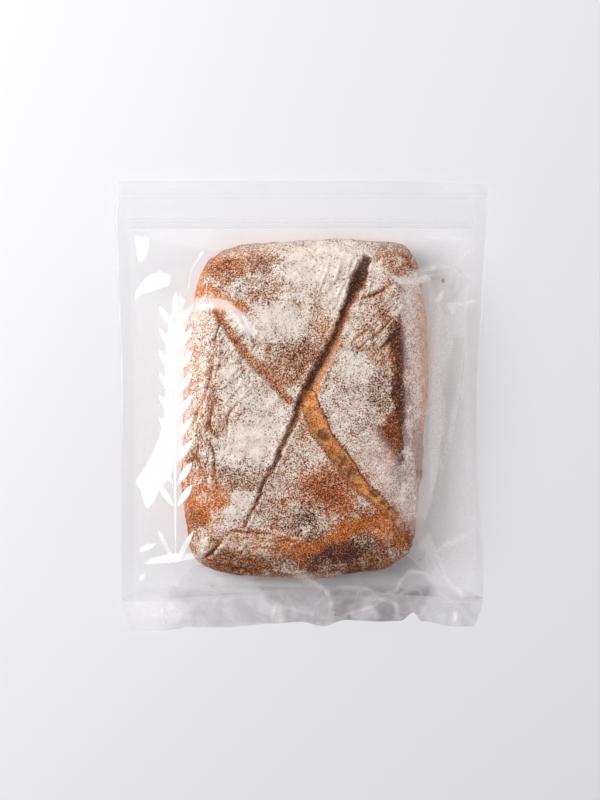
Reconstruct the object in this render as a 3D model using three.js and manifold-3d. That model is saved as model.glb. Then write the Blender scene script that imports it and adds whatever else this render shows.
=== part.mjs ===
// A floured rustic loaf shut in a clear zip pouch with a bottom gusset, lying on its back.
// Millimetres. X runs across the pouch, Y from the gusset up to the zip, Z is up.
// The origin is on the resting face, in the middle of the pouch's outline.
//
// The pouch and the loaf in it are one closed solid: its upper face is the front film as it
// stands over the loaf, its lower face is the back film. The press-to-close zip is a strip of
// its own, welded into the header in life and lying in a pocket there here.

import * as THREE from 'three';
import * as BufferGeometryUtils from 'three/addons/utils/BufferGeometryUtils.js';
import Module from 'manifold-3d';

const wasm = await Module();
wasm.setup();

// Driving dimensions of the pouch
const POUCH_WIDTH = 300;
const POUCH_LENGTH = 362.8;
const CORNER_RADIUS = 5;
const SIDE_SEAL = 11;
const SEAL_STACK = 1.6;
const SIDE_WAIST_LEFT = 5.6;
const SIDE_WAIST_RIGHT = 8.4;
const RIGHT_SIDE_OPENS = { below: -40, over: 100, share: 0.5 };
const GUSSET_TAPER = 6.5;
const HEADER_DROOP = { from: 70, over: 75, drop: 2.6 };
const TEAR_NOTCH = { y: 165.3, depth: 1.2, width: 3 };

// How high the welded edges float above the table
const TOP_EDGE_HEIGHT = 2.4;
const SIDE_SEAM_LOW = 5.5;
const SIDE_SEAM_RISE = 6.5;
const GUSSET_EDGE_HEIGHT = 0.6;
const GUSSET_CORNER_LIFT = 1.6;

// The front panel's lower hem, which the loaf's thickness pulls up from the back edge
const HEM_Y = -156.5;
const HEM_LIFT = { x: 12, width: 70, lift: 9 };
const HEM_HEIGHT = { corner: 4.5, middle: 10.5, width: 85 };

// The zip, a straight stiff line across the header
const ZIP_Y = 147.2;
const ZIP_BAND = 9.6;
const ZIP_TOP_HEIGHT = 8.6;
const ZIP_LEVELS_SEAM_WITHIN = 20;
const ZIP_BED_THICKNESS = 3.2;
const ZIP_HALF_LENGTH = 138;
const ZIP_WIDTH = 7.4;
const ZIP_STRIP_THICKNESS = 1.2;
const ZIP_RIB_WIDTH = 1.4;
const ZIP_RIB_RISE = 1.3;
const ZIP_RIB_OFFSET = 1.9;
const ZIP_POCKET_DEPTH = 1.9;
const ZIP_CRUSHED_END = { length: 7, standing: 0.25 };
const FIT_GAP = 0.3;

// The loaf
const LOAF_SHOULDER_HEIGHT = 32;
const LOAF_CROWN_RISE = 11;
const LOAF_WAIST_HEIGHT = 13;
const LOAF_SHOULDER_RADIUS = 24;
const LOAF_HALF_WIDTH = 98;
const LOAF_CORNER_POWER = 9;
const LOAF_FOOT_RADIUS = 0.97;
const FILM_CLEARANCE = 0.8;
const FILM_DIP_IN_SCORE = 0.45;

// Mesh fineness: cells of the upper face across and along the panel, both even
const CELLS_ACROSS = 48;
const CELLS_PANEL = 50;
const CELLS_GUSSET = 4;
const CELLS_ZIP = 2;
const CELLS_HEADER = 4;
const ZIP_STEPS = 40;
const SETTLE_PASSES = 700;
const WELD_TOLERANCE = 1e-4;

const HALF_WIDTH = POUCH_WIDTH / 2;
const HALF_LENGTH = POUCH_LENGTH / 2;

// Small helpers

const clamp01 = (t) => Math.min(1, Math.max(0, t));

const ease = (t) => {
  const s = clamp01(t);
  return s * s * (3 - 2 * s);
};

const mix = (a, b, t) => a + (b - a) * t;

// A round hump of height 1 at distance 0 that fades out over the width
const hump = (distance, width) => Math.exp(-((distance / width) ** 2));

// A smooth curve through [place, value] pairs, eased from each pair to the next
function through(stations, place) {
  const last = stations.length - 1;
  if (place <= stations[0][0]) return stations[0][1];
  if (place >= stations[last][0]) return stations[last][1];
  const k = stations.findIndex((station) => station[0] >= place);
  const [x0, y0] = stations[k - 1];
  const [x1, y1] = stations[k];
  return mix(y0, y1, ease((place - x0) / (x1 - x0)));
}

// Distance from a point to a polyline, with the share of the way along it
function alongLine(points, x, y) {
  let best = { distance: Infinity, share: 0 };
  const spans = points.length - 1;
  for (let k = 0; k < spans; k += 1) {
    const [ax, ay] = points[k];
    const [bx, by] = points[k + 1];
    const dx = bx - ax;
    const dy = by - ay;
    const t = clamp01(((x - ax) * dx + (y - ay) * dy) / (dx * dx + dy * dy));
    const distance = Math.hypot(x - ax - t * dx, y - ay - t * dy);
    if (distance < best.distance) best = { distance, share: (k + t) / spans };
  }
  return best;
}

// Outline of the pouch, seen from above

// The side seams draw in at mid-length, because the film climbs over the loaf there
function sideEdge(side, y) {
  const waist = side < 0 ? SIDE_WAIST_LEFT : SIDE_WAIST_RIGHT;
  const { below, over, share } = RIGHT_SIDE_OPENS;
  const pulledIn = ease((HALF_LENGTH - y) / HALF_LENGTH);
  const opensAgain = side < 0 ? 0 : share * ease((below - y) / over);
  const gussetTaper = GUSSET_TAPER * ease((HEM_Y - y) / (HALF_LENGTH + HEM_Y));
  const notch = TEAR_NOTCH.depth * hump(y - TEAR_NOTCH.y, TEAR_NOTCH.width);
  return side * (HALF_WIDTH - waist * (pulledIn - opensAgain) - gussetTaper - notch);
}

// The upper edge runs straight, droops at the right and has rounded corners
function topEdge(x) {
  const fromCorner = Math.max(0, Math.abs(x) - (HALF_WIDTH - CORNER_RADIUS));
  const rounding = CORNER_RADIUS - Math.sqrt(Math.max(0, CORNER_RADIUS ** 2 - fromCorner ** 2));
  const droop = HEADER_DROOP.drop * ease((x - HEADER_DROOP.from) / HEADER_DROOP.over);
  return HALF_LENGTH - rounding - droop;
}

// The back edge of the opened gusset wavers, with a step where the corner tab starts
const GUSSET_EDGE = [
  [-150, -179.4], [-134, -181.4], [-112, -181], [-90, -178.5], [-60, -178.6], [-25, -175.5],
  [0, -174], [17, -177.5], [36, -172.5], [62, -173.8], [80, -173.2], [90, -166.5],
  [97, -173.5], [122, -177.5], [140, -177.6], [150, -172],
];
const gussetEdge = (x) => through(GUSSET_EDGE, x);

// The front panel's hem, seen from above, and its height over the table
const hemLine = (x) => HEM_Y + HEM_LIFT.lift * hump(x - HEM_LIFT.x, HEM_LIFT.width);
const hemHeight = (x) => mix(HEM_HEIGHT.corner, HEM_HEIGHT.middle, hump(x, HEM_HEIGHT.width));

// Height of the welded side seam above the table along the pouch
function seamHeight(y) {
  const alongPanel = clamp01((y - HEM_Y) / (ZIP_Y - HEM_Y));
  const bowed = SIDE_SEAM_LOW + SIDE_SEAM_RISE * Math.sin(Math.PI * alongPanel);
  const toTop = ease((y - ZIP_Y) / (HALF_LENGTH - ZIP_Y));
  const toGusset = ease((HEM_Y - y) / (HALF_LENGTH + HEM_Y));
  return mix(mix(bowed, TOP_EDGE_HEIGHT, toTop), GUSSET_CORNER_LIFT, toGusset);
}

// The loaf

// Half-widths of the loaf to the left and right of the origin, and its two ends
const LOAF_LEFT = [[-140, -80], [-108, -91], [-60, -96.5], [20, -94.5], [58, -93], [85, -84], [131, -80]];
const LOAF_RIGHT = [[-130, 88], [-84, 93], [-40, 98], [20, 101], [60, 100], [102, 94], [130, 86]];
const LOAF_TOP = [[-85, 127], [-62, 130.5], [20, 133.5], [80, 130], [95, 127]];
const LOAF_BOTTOM = [[-85, -130], [-50, -135.5], [16, -138], [55, -132.5], [90, -122]];

// The slashes of the X, cut before baking: a long one and two arms that meet it
const SCORES = [
  { width: 6.5, depth: 7, points: [[53, 114], [34, 75], [13, 33], [-3, 1], [-19, -35], [-44, -94]] },
  { width: 6, depth: 5, points: [[-71, 74], [-52, 53], [-29, 25], [-7, 4]] },
  { width: 9.5, depth: 6, points: [[4, 8], [27, -31], [51, -62], [74, -88], [88, -110]] },
];

const SCORE_END_SHARE = 0.06;

// The four crust fields between the slashes swell on their own
const CRUST_FIELDS = [
  { x: -18, y: 84, reach: 46, rise: 2.6 },
  { x: -58, y: -12, reach: 44, rise: 3 },
  { x: 12, y: -92, reach: 44, rise: 2.2 },
  { x: 58, y: 12, reach: 46, rise: 3 },
];

// 0 at the loaf's middle, 1 on its outline, more outside it: a rounded rectangle's radius
function loafRadius(x, y) {
  const left = through(LOAF_LEFT, y);
  const right = through(LOAF_RIGHT, y);
  const bottom = through(LOAF_BOTTOM, x);
  const top = through(LOAF_TOP, x);
  const across = Math.abs(2 * x - left - right) / (right - left);
  const along = Math.abs(2 * y - bottom - top) / (top - bottom);
  return (across ** LOAF_CORNER_POWER + along ** LOAF_CORNER_POWER) ** (1 / LOAF_CORNER_POWER);
}

// How deep the slashes are at a point
function scoreDepth(x, y) {
  return Math.max(...SCORES.map((score) => {
    const { distance, share } = alongLine(score.points, x, y);
    const runsOut = Math.sin(Math.PI * mix(SCORE_END_SHARE, 1 - SCORE_END_SHARE, share));
    return score.depth * Math.sqrt(runsOut) * hump(distance, score.width);
  }));
}

// Height of the crust: a quarter-round shoulder, a low crown and the swollen fields
function crustHeight(x, y) {
  const radius = loafRadius(x, y);
  if (radius >= 1) return -Infinity;
  const inset = Math.min(1, ((1 - radius) * LOAF_HALF_WIDTH) / LOAF_SHOULDER_RADIUS);
  const shoulder = Math.sqrt(1 - (1 - inset) ** 2);
  const crown = LOAF_CROWN_RISE * (1 - radius ** 2);
  const swell = CRUST_FIELDS.reduce(
    (sum, field) => sum + field.rise * hump(Math.hypot(x - field.x, y - field.y), field.reach), 0);
  return mix(LOAF_WAIST_HEIGHT, LOAF_SHOULDER_HEIGHT + crown + swell, shoulder);
}

// Folds of the front film between the loaf and the seams: a ridge along each line
const FOLDS = [
  { points: [[139, 134], [111, 70]], rise: 4.5, width: 5 },
  { points: [[141, 92], [109, 60], [118, 35]], rise: 3.5, width: 6 },
  { points: [[139, 25], [120, -6], [112, -60]], rise: 3.5, width: 6 },
  { points: [[110, -100], [136, -148]], rise: 4, width: 7 },
  { points: [[-138, 141], [-122, 118], [-104, 104]], rise: 3.5, width: 8 },
  { points: [[-136, 92], [-118, 108], [-98, 100]], rise: 3.5, width: 9 },
  { points: [[-132, 20], [-112, -28], [-124, -100]], rise: 3, width: 10 },
  { points: [[-132, -130], [-112, -118], [-92, -126]], rise: 3, width: 7 },
];

const FOLD_END_SHARE = 0.12;

function foldRise(x, y) {
  return FOLDS.reduce((sum, fold) => {
    const { distance, share } = alongLine(fold.points, x, y);
    const along = Math.sin(Math.PI * mix(FOLD_END_SHARE, 1 - FOLD_END_SHARE, share));
    return sum + fold.rise * along * hump(distance, fold.width);
  }, 0);
}

// Rows of the film faces run from the gusset's edge to the top, with one on the hem and one
// on each side of the zip; columns run from seam to seam, with one on each seal's inner edge
const ZIP_LOW_Y = ZIP_Y - ZIP_BAND / 2;
const ZIP_HIGH_Y = ZIP_Y + ZIP_BAND / 2;
const HEM_ROW = CELLS_GUSSET;
const ZIP_LOW_ROW = HEM_ROW + CELLS_PANEL;
const ZIP_HIGH_ROW = ZIP_LOW_ROW + CELLS_ZIP;
const ROWS = ZIP_HIGH_ROW + CELLS_HEADER;

function rowPlace(j, x) {
  if (j <= HEM_ROW) return mix(gussetEdge(x), hemLine(x), j / CELLS_GUSSET);
  if (j <= ZIP_LOW_ROW) return mix(hemLine(x), ZIP_LOW_Y, (j - HEM_ROW) / CELLS_PANEL);
  if (j <= ZIP_HIGH_ROW) return mix(ZIP_LOW_Y, ZIP_HIGH_Y, (j - ZIP_LOW_ROW) / CELLS_ZIP);
  return mix(ZIP_HIGH_Y, topEdge(x), (j - ZIP_HIGH_ROW) / CELLS_HEADER);
}

function columnPlace(i, y) {
  const left = sideEdge(-1, y);
  const right = sideEdge(1, y);
  if (i === 0) return left;
  if (i === CELLS_ACROSS) return right;
  return mix(left + SIDE_SEAL, right - SIDE_SEAL, (i - 1) / (CELLS_ACROSS - 2));
}

function gridPoint(i, j) {
  const roughX = columnPlace(i, rowPlace(j, 0));
  const y = rowPlace(j, roughX);
  return [columnPlace(i, y), y];
}

const isSideSeal = (i) => i <= 1 || i >= CELLS_ACROSS - 1;

// Height of the upper face on the parts that don't move: seals, hem, gusset, zip and header
function fixedHeight(i, j, x, y) {
  const seam = seamHeight(y) + SEAL_STACK;
  if (j > ZIP_HIGH_ROW) {
    const up = (j - ZIP_HIGH_ROW) / CELLS_HEADER;
    return mix(ZIP_TOP_HEIGHT, TOP_EDGE_HEIGHT + SEAL_STACK, up);
  }
  if (j >= ZIP_LOW_ROW) return ZIP_TOP_HEIGHT;
  if (j <= HEM_ROW) {
    const lip = mix(GUSSET_EDGE_HEIGHT, GUSSET_CORNER_LIFT, (x / HALF_WIDTH) ** 4);
    const hem = isSideSeal(i) ? seam : hemHeight(x);
    return mix(lip + SEAL_STACK, hem, j / CELLS_GUSSET);
  }
  const nearZip = ease(1 - (ZIP_LOW_Y - y) / ZIP_LEVELS_SEAM_WITHIN);
  return isSideSeal(i) ? mix(seam, ZIP_TOP_HEIGHT, nearZip) : null;
}

// The film settles like a tight skin: each free point moves to the mean of its neighbours,
// and never below the surface that carries it
function settle(heights, isFree, carrier) {
  for (let pass = 0; pass < SETTLE_PASSES; pass += 1) {
    for (let j = 1; j < ROWS; j += 1) {
      for (let i = 1; i < CELLS_ACROSS; i += 1) {
        if (isFree[j][i]) {
          const mean = (heights[j][i - 1] + heights[j][i + 1]
            + heights[j - 1][i] + heights[j + 1][i]) / 4;
          heights[j][i] = Math.max(carrier[j][i], mean);
        }
      }
    }
  }
}

function makeGrid(value) {
  return Array.from({ length: ROWS + 1 }, (_, j) => (
    Array.from({ length: CELLS_ACROSS + 1 }, (__, i) => value(i, j))));
}

const places = makeGrid((i, j) => gridPoint(i, j));

function frontFilm() {
  const held = makeGrid((i, j) => fixedHeight(i, j, ...places[j][i]));
  const isFree = held.map((row) => row.map((height) => height === null));
  const carrier = makeGrid((i, j) => crustHeight(...places[j][i]) + FILM_CLEARANCE);
  const heights = held.map((row) => row.map((height) => (height === null ? ZIP_TOP_HEIGHT : height)));
  settle(heights, isFree, carrier);
  return heights.map((row, j) => row.map((height, i) => {
    if (!isFree[j][i]) return height;
    const [x, y] = places[j][i];
    const overLoaf = loafRadius(x, y) < 1;
    const relief = overLoaf ? -FILM_DIP_IN_SCORE * scoreDepth(x, y) : foldRise(x, y);
    return height + relief;
  }));
}

// The back film lies flat under the loaf and climbs to the seams round it
function backFilm(front) {
  const held = makeGrid((i, j) => {
    const [x, y] = places[j][i];
    const isZipBed = j >= ZIP_LOW_ROW && j <= ZIP_HIGH_ROW && !isSideSeal(i);
    if (isZipBed) return ZIP_TOP_HEIGHT - ZIP_BED_THICKNESS;
    if (isSideSeal(i) || j < HEM_ROW || j > ZIP_HIGH_ROW) return front[j][i] - SEAL_STACK;
    return loafRadius(x, y) < LOAF_FOOT_RADIUS ? 0 : null;
  });
  const isFree = held.map((row) => row.map((height) => height === null));
  const heights = held.map((row) => row.map((height) => height ?? 0));
  settle(heights, isFree, makeGrid(() => 0));
  return heights;
}

// The outline of a grid as a loop of [i, j], anticlockwise seen from above
function rimLoop(step) {
  const loop = [];
  for (let i = 0; i < CELLS_ACROSS; i += step) loop.push([i, 0]);
  for (let j = 0; j < ROWS; j += step) loop.push([CELLS_ACROSS, j]);
  for (let i = CELLS_ACROSS; i > 0; i -= step) loop.push([i, ROWS]);
  for (let j = ROWS; j > 0; j -= step) loop.push([0, j]);
  return loop;
}

// One closed shell: the fine upper face, a lower face of cells twice as large, and the rim
function pouchShell() {
  const front = frontFilm();
  const back = backFilm(front);
  const positions = [];
  const triangles = [];
  const frontIds = makeGrid((i, j) => positions.push([...places[j][i], front[j][i]]) - 1);
  const backIds = makeGrid((i, j) => (
    i % 2 || j % 2 ? -1 : positions.push([...places[j][i], back[j][i]]) - 1));
  for (let j = 0; j < ROWS; j += 1) {
    for (let i = 0; i < CELLS_ACROSS; i += 1) {
      const [a, b] = [frontIds[j][i], frontIds[j][i + 1]];
      const [c, d] = [frontIds[j + 1][i + 1], frontIds[j + 1][i]];
      triangles.push([a, b, c], [a, c, d]);
    }
  }
  for (let j = 0; j < ROWS; j += 2) {
    for (let i = 0; i < CELLS_ACROSS; i += 2) {
      const [a, b] = [backIds[j][i], backIds[j][i + 2]];
      const [c, d] = [backIds[j + 2][i + 2], backIds[j + 2][i]];
      triangles.push([a, c, b], [a, d, c]);
    }
  }
  const upper = rimLoop(1).map(([i, j]) => frontIds[j][i]);
  const lower = rimLoop(2).map(([i, j]) => backIds[j][i]);
  for (let k = 0; k < lower.length; k += 1) {
    const [t0, t1, t2] = [upper[2 * k], upper[2 * k + 1], upper[(2 * k + 2) % upper.length]];
    const [b0, b1] = [lower[k], lower[(k + 1) % lower.length]];
    triangles.push([t0, b0, t1], [t1, b0, b1], [t1, b1, t2]);
  }
  const geometry = new THREE.BufferGeometry();
  geometry.setAttribute('position', new THREE.Float32BufferAttribute(positions.flat(), 3));
  geometry.setIndex(triangles.flat());
  return geometry;
}

// Cutting one closed geometry out of another

function toManifold(geometry) {
  const bare = geometry.clone();
  bare.deleteAttribute('normal');
  bare.deleteAttribute('uv');
  const merged = BufferGeometryUtils.mergeVertices(bare, WELD_TOLERANCE);
  const mesh = new wasm.Mesh({
    numProp: 3,
    vertProperties: Float32Array.from(merged.attributes.position.array),
    triVerts: Uint32Array.from(merged.index.array),
  });
  return new wasm.Manifold(mesh);
}

function fromManifold(manifold) {
  const mesh = manifold.getMesh();
  const geometry = new THREE.BufferGeometry();
  geometry.setAttribute('position', new THREE.BufferAttribute(mesh.vertProperties, 3));
  geometry.setIndex(new THREE.BufferAttribute(mesh.triVerts, 1));
  return geometry;
}

// The pouch with the pocket that the zip strip lies in
function bagGeometry() {
  const pocket = new THREE.BoxGeometry(
    2 * (ZIP_HALF_LENGTH + FIT_GAP), ZIP_WIDTH + 2 * FIT_GAP, 2 * ZIP_POCKET_DEPTH);
  pocket.translate(0, ZIP_Y, ZIP_TOP_HEIGHT);
  return fromManifold(toManifold(pouchShell()).subtract(toManifold(pocket)));
}

// The zip strip: a flat base with two ribs, which are crushed flat at its welded ends
function zipGeometry() {
  const half = ZIP_WIDTH / 2;
  const ribTop = ZIP_STRIP_THICKNESS + ZIP_RIB_RISE;
  const section = new THREE.Shape();
  section.moveTo(-half, 0);
  section.lineTo(half, 0);
  section.lineTo(half, ZIP_STRIP_THICKNESS);
  for (const centre of [ZIP_RIB_OFFSET, -ZIP_RIB_OFFSET]) {
    section.lineTo(centre + ZIP_RIB_WIDTH / 2, ZIP_STRIP_THICKNESS);
    section.lineTo(centre + ZIP_RIB_WIDTH / 2, ribTop);
    section.lineTo(centre - ZIP_RIB_WIDTH / 2, ribTop);
    section.lineTo(centre - ZIP_RIB_WIDTH / 2, ZIP_STRIP_THICKNESS);
  }
  section.lineTo(-half, ZIP_STRIP_THICKNESS);
  section.closePath();
  const options = { depth: 2 * ZIP_HALF_LENGTH, steps: ZIP_STEPS, bevelEnabled: false };
  const strip = new THREE.ExtrudeGeometry(section, options);
  strip.rotateX(Math.PI / 2);
  strip.rotateZ(Math.PI / 2);
  strip.center();
  const floorHeight = ZIP_TOP_HEIGHT - ZIP_POCKET_DEPTH + FIT_GAP;
  const place = strip.attributes.position;
  for (let k = 0; k < place.count; k += 1) {
    const up = place.getZ(k) + ribTop / 2;
    const fromEnd = ZIP_HALF_LENGTH - Math.abs(place.getX(k));
    const standing = mix(ZIP_CRUSHED_END.standing, 1, ease(fromEnd / ZIP_CRUSHED_END.length));
    const crushed = Math.min(up, ZIP_STRIP_THICKNESS)
      + Math.max(0, up - ZIP_STRIP_THICKNESS) * standing;
    place.setXYZ(k, place.getX(k), place.getY(k) + ZIP_Y, floorHeight + crushed);
  }
  return strip;
}

function namedMesh(name, geometry, look) {
  const mesh = new THREE.Mesh(geometry, new THREE.MeshStandardMaterial(look));
  mesh.name = name;
  return mesh;
}

const pouchOfBread = new THREE.Group();
pouchOfBread.add(namedMesh('bag', bagGeometry(), { color: 0xc9ab8d, roughness: 0.35, metalness: 0 }));
pouchOfBread.add(namedMesh('zip_track', zipGeometry(), { color: 0xe4e4e6, roughness: 0.3, metalness: 0 }));

export default pouchOfBread;
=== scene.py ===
# %% [markdown]
# # A floured country loaf in a clear zip pouch
# The real thing is two things: a flat sourdough loaf with an X cut into its crust, and a
# pouch of clear film that is welded at the sides, closed by a zip and opened by a gusset at
# the bottom. The frame holds one solid for both, so here the solid is replaced by what the
# eye sees: the loaf inside, and one thin shell for each sheet of film round it.

# %% Load the frame
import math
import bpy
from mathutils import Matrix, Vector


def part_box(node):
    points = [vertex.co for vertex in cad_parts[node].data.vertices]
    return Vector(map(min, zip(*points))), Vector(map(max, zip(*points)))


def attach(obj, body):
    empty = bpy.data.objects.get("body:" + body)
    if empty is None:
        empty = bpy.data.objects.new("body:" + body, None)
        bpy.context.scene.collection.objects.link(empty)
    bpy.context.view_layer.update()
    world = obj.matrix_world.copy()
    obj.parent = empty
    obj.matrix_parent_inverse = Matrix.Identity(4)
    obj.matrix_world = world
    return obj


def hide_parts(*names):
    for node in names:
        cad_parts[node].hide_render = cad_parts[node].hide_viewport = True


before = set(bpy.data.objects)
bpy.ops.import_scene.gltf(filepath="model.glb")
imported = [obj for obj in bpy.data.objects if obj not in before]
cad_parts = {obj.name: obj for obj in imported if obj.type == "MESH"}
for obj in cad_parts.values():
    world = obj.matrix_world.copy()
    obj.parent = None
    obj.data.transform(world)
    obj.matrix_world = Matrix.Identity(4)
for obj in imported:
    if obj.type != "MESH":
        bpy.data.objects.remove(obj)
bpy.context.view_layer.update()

# %% Tools and units
from types import SimpleNamespace

import bpy
import numpy as np
from mathutils import Vector

MM = 0.001
BAG_LOW, BAG_HIGH = (np.array(corner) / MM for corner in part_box("bag"))
print("bag solid, mm:", BAG_LOW.round(1), BAG_HIGH.round(1))

# %% [markdown]
# ## Small helpers
# Every form below is a function of whole numpy arrays, in millimetres. These few helpers
# give the eased steps, the soft noise and the distance to a line that the forms are built
# from, so a crack, a slash or a fold is one short call.

# %% Eased steps, curves and humps


def ease(t):
    """3t² - 2t³ with t kept between 0 and 1: a step with soft ends."""
    t = np.clip(t, 0.0, 1.0)
    return t * t * (3.0 - 2.0 * t)


def mix(a, b, t):
    """a at t = 0, b at t = 1 and straight in between."""
    return a + (b - a) * t


def steeper(mask, gain):
    """The mask times a gain, kept between 0 and 1."""
    return np.clip(gain * mask, 0, 1)


def hump(distance, width):
    """exp(-(distance / width)²): 1 on the line and fading out over the width."""
    return np.exp(-((distance / width) ** 2))


def through(stations, place):
    """The value at a place on a curve through (place, value) pairs, eased between pairs."""
    places, values = np.array(stations, float).T
    k = np.clip(np.searchsorted(places, place) - 1, 0, len(places) - 2)
    share = (place - places[k]) / (places[k + 1] - places[k])
    return mix(values[k], values[k + 1], ease(share))


def read_grid(grid, row, column):
    """The grid's value at a row and column that needn't be whole, straight between points."""
    row = np.clip(row, 0, grid.shape[0] - 1)
    column = np.clip(column, 0, grid.shape[1] - 1)
    r = np.minimum(row.astype(int), grid.shape[0] - 2)
    c = np.minimum(column.astype(int), grid.shape[1] - 2)
    below = mix(grid[r, c], grid[r, c + 1], column - c)
    above = mix(grid[r + 1, c], grid[r + 1, c + 1], column - c)
    return mix(below, above, row - r)


def along_line(line, x, y):
    """Distance to a polyline, share of the way along it, and side of it (left is positive).

    For each straight span the foot of the perpendicular is kept between the span's ends,
    and the span with the nearest foot wins.
    """
    line = np.array(line, float)
    best = np.full(x.shape, np.inf)
    share = np.zeros(x.shape)
    side = np.zeros(x.shape)
    for k in range(len(line) - 1):
        (ax, ay), (bx, by) = line[k], line[k + 1]
        dx, dy = bx - ax, by - ay
        t = np.clip(((x - ax) * dx + (y - ay) * dy) / (dx * dx + dy * dy), 0, 1)
        off_x, off_y = x - ax - t * dx, y - ay - t * dy
        distance = np.hypot(off_x, off_y)
        near = distance < best
        best = np.where(near, distance, best)
        share = np.where(near, (k + t) / (len(line) - 1), share)
        side = np.where(near, np.sign(dx * off_y - dy * off_x), side)
    return best, share, side


# %% Soft noise


LATTICE_SIZE = 64


def lattice_noise(points, cell, seed):
    """Soft lumps between about -1 and 1.

    Each corner of a cubic lattice has a random number, and a point takes the mix of the
    eight corners round it, eased along each axis.
    """
    table = np.random.default_rng(seed).uniform(-1, 1, (LATTICE_SIZE,) * 3)
    place = np.asarray(points) / cell
    whole = np.floor(place).astype(int)
    t = ease(place - whole)
    total = 0.0
    for corner in np.ndindex(2, 2, 2):
        index = (whole + corner) % LATTICE_SIZE
        weight = np.prod(np.where(np.array(corner), t, 1 - t), axis=-1)
        total = total + weight * table[index[..., 0], index[..., 1], index[..., 2]]
    return total


def rough_noise(points, cell, seed, octaves=3, fade=0.5):
    """Lattice noise added to itself at half the cell and a faded height, octave by octave."""
    total, height = 0.0, 1.0
    for octave in range(octaves):
        total = total + height * lattice_noise(points, cell / 2**octave, seed + octave)
        height *= fade
    return total


def flat_noise(x, y, cell, seed):
    """Lattice noise over places in the table's plane."""
    return lattice_noise(np.stack([x, y, 0 * x], -1), cell, seed)


# %% [markdown]
# ## Camera, light and table
# The picture looks straight down on the pouch, so the camera stands above it and every
# pixel is a ray from there. `from_photo` cuts that ray at a height above the table, which
# is how slashes, cracks and burns get their places on the crust.

# %% The camera
CAMERA_HEIGHT = 1605.0
FRAME_HEIGHT = 643.4
FRAME_PLANE = 5.0
PICTURE_CENTRE = (-1.2, 5.2)
PICTURE_PIXELS = (600, 800)
SENSOR = 36.0

camera_data = bpy.data.cameras.new("overhead_camera")
camera_data.sensor_width = SENSOR
camera_data.lens = SENSOR * (CAMERA_HEIGHT - FRAME_PLANE) / FRAME_HEIGHT
camera = bpy.data.objects.new("overhead_camera", camera_data)
camera.location = (PICTURE_CENTRE[0] * MM, PICTURE_CENTRE[1] * MM, CAMERA_HEIGHT * MM)
bpy.context.scene.collection.objects.link(camera)
bpy.context.scene.camera = camera


def from_photo(points, height):
    """Pixels become millimetres: (pixel - middle) times the size of a pixel at that height."""
    points = np.array(points, float)
    at_height = (CAMERA_HEIGHT - height) / (CAMERA_HEIGHT - FRAME_PLANE)
    pixel = FRAME_HEIGHT / PICTURE_PIXELS[1] * at_height
    x = PICTURE_CENTRE[0] + (points[..., 0] - PICTURE_PIXELS[0] / 2) * pixel
    y = PICTURE_CENTRE[1] - (points[..., 1] - PICTURE_PIXELS[1] / 2) * pixel
    return np.stack([x, y], axis=-1)


print("lens, mm:", round(camera_data.lens, 1))

# %% Soft boxes and the table


def soft_box(name, azimuth, elevation, distance, width, height, power):
    """A rectangular white lamp on a sphere round the pouch, facing its middle.

    Azimuth turns from +X towards +Y, elevation lifts from the table; both in degrees.
    Distance, width and height are in metres, power in watts.
    """
    lamp = bpy.data.lights.new(name, "AREA")
    lamp.shape = "RECTANGLE"
    lamp.size, lamp.size_y = width, height
    lamp.energy = power
    turn, lift = math.radians(azimuth), math.radians(elevation)
    level = math.cos(lift)
    towards = Vector((level * math.cos(turn), level * math.sin(turn), math.sin(lift)))
    holder = bpy.data.objects.new(name, lamp)
    holder.location = towards * distance
    holder.rotation_euler = towards.to_track_quat("Z", "Y").to_euler()
    bpy.context.scene.collection.objects.link(holder)


soft_box("window_light", 160, 33, 1.9, 1.38, 1.0, 32.5)
soft_box("right_fill", 2, 25, 2.0, 1.0, 1.1, 8.5)
soft_box("top_fill", 95, 42, 1.6, 1.6, 0.9, 3.5)

world = bpy.data.worlds.new("studio_air")
world.use_nodes = True
sky = world.node_tree.nodes["Background"]
sky.inputs["Color"].default_value = (0.98, 0.985, 1.0, 1)
sky.inputs["Strength"].default_value = 0.345
bpy.context.scene.world = world
bpy.context.scene.view_settings.view_transform = "Standard"
bpy.context.scene.cycles.transparent_max_bounces = 32

# %% [markdown]
# ## Meshes and materials
# Each piece goes in as arrays of points and quads. A sheet of film is a grid of points; it
# becomes a closed shell when the same grid is laid down again a hair below it and the two
# are joined round the rim, so no edge is left open.

# %% Putting arrays into Blender


def make_piece(name, points, faces, material, slot, node, **values):
    """A smooth mesh object at the origin that rides with the part and replaces a node."""
    mesh = bpy.data.meshes.new(name)
    mesh.from_pydata((np.asarray(points) * MM).tolist(), [], [list(map(int, f)) for f in faces])
    for key, per_point in values.items():
        layer = mesh.attributes.new(key, "FLOAT", "POINT")
        layer.data.foreach_set("value", np.asarray(per_point, np.float32).ravel())
    mesh.polygons.foreach_set("use_smooth", np.ones(len(mesh.polygons), bool))
    mesh.materials.append(material)
    mesh.update()
    piece = bpy.data.objects.new(name, mesh)
    bpy.context.scene.collection.objects.link(piece)
    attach(piece, "root")
    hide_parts(node)
    triangles = sum(len(polygon.vertices) - 2 for polygon in mesh.polygons)
    print(f"{name}: {len(mesh.vertices)} points, {triangles} triangles")
    return piece


def grid_quads(rows, columns, start=0):
    """The quads between neighbouring points of a grid, anticlockwise seen from above."""
    first = start + np.arange(rows - 1)[:, None] * columns + np.arange(columns - 1)
    return np.stack([first, first + 1, first + columns + 1, first + columns], -1).reshape(-1, 4)


def grid_normals(grid):
    """Unit normals of a grid of points: the cross product of its two directions."""
    across = np.gradient(grid, axis=1)
    along = np.gradient(grid, axis=0)
    normal = np.cross(across, along)
    return normal / np.maximum(np.linalg.norm(normal, axis=-1, keepdims=True), 1e-9)


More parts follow.
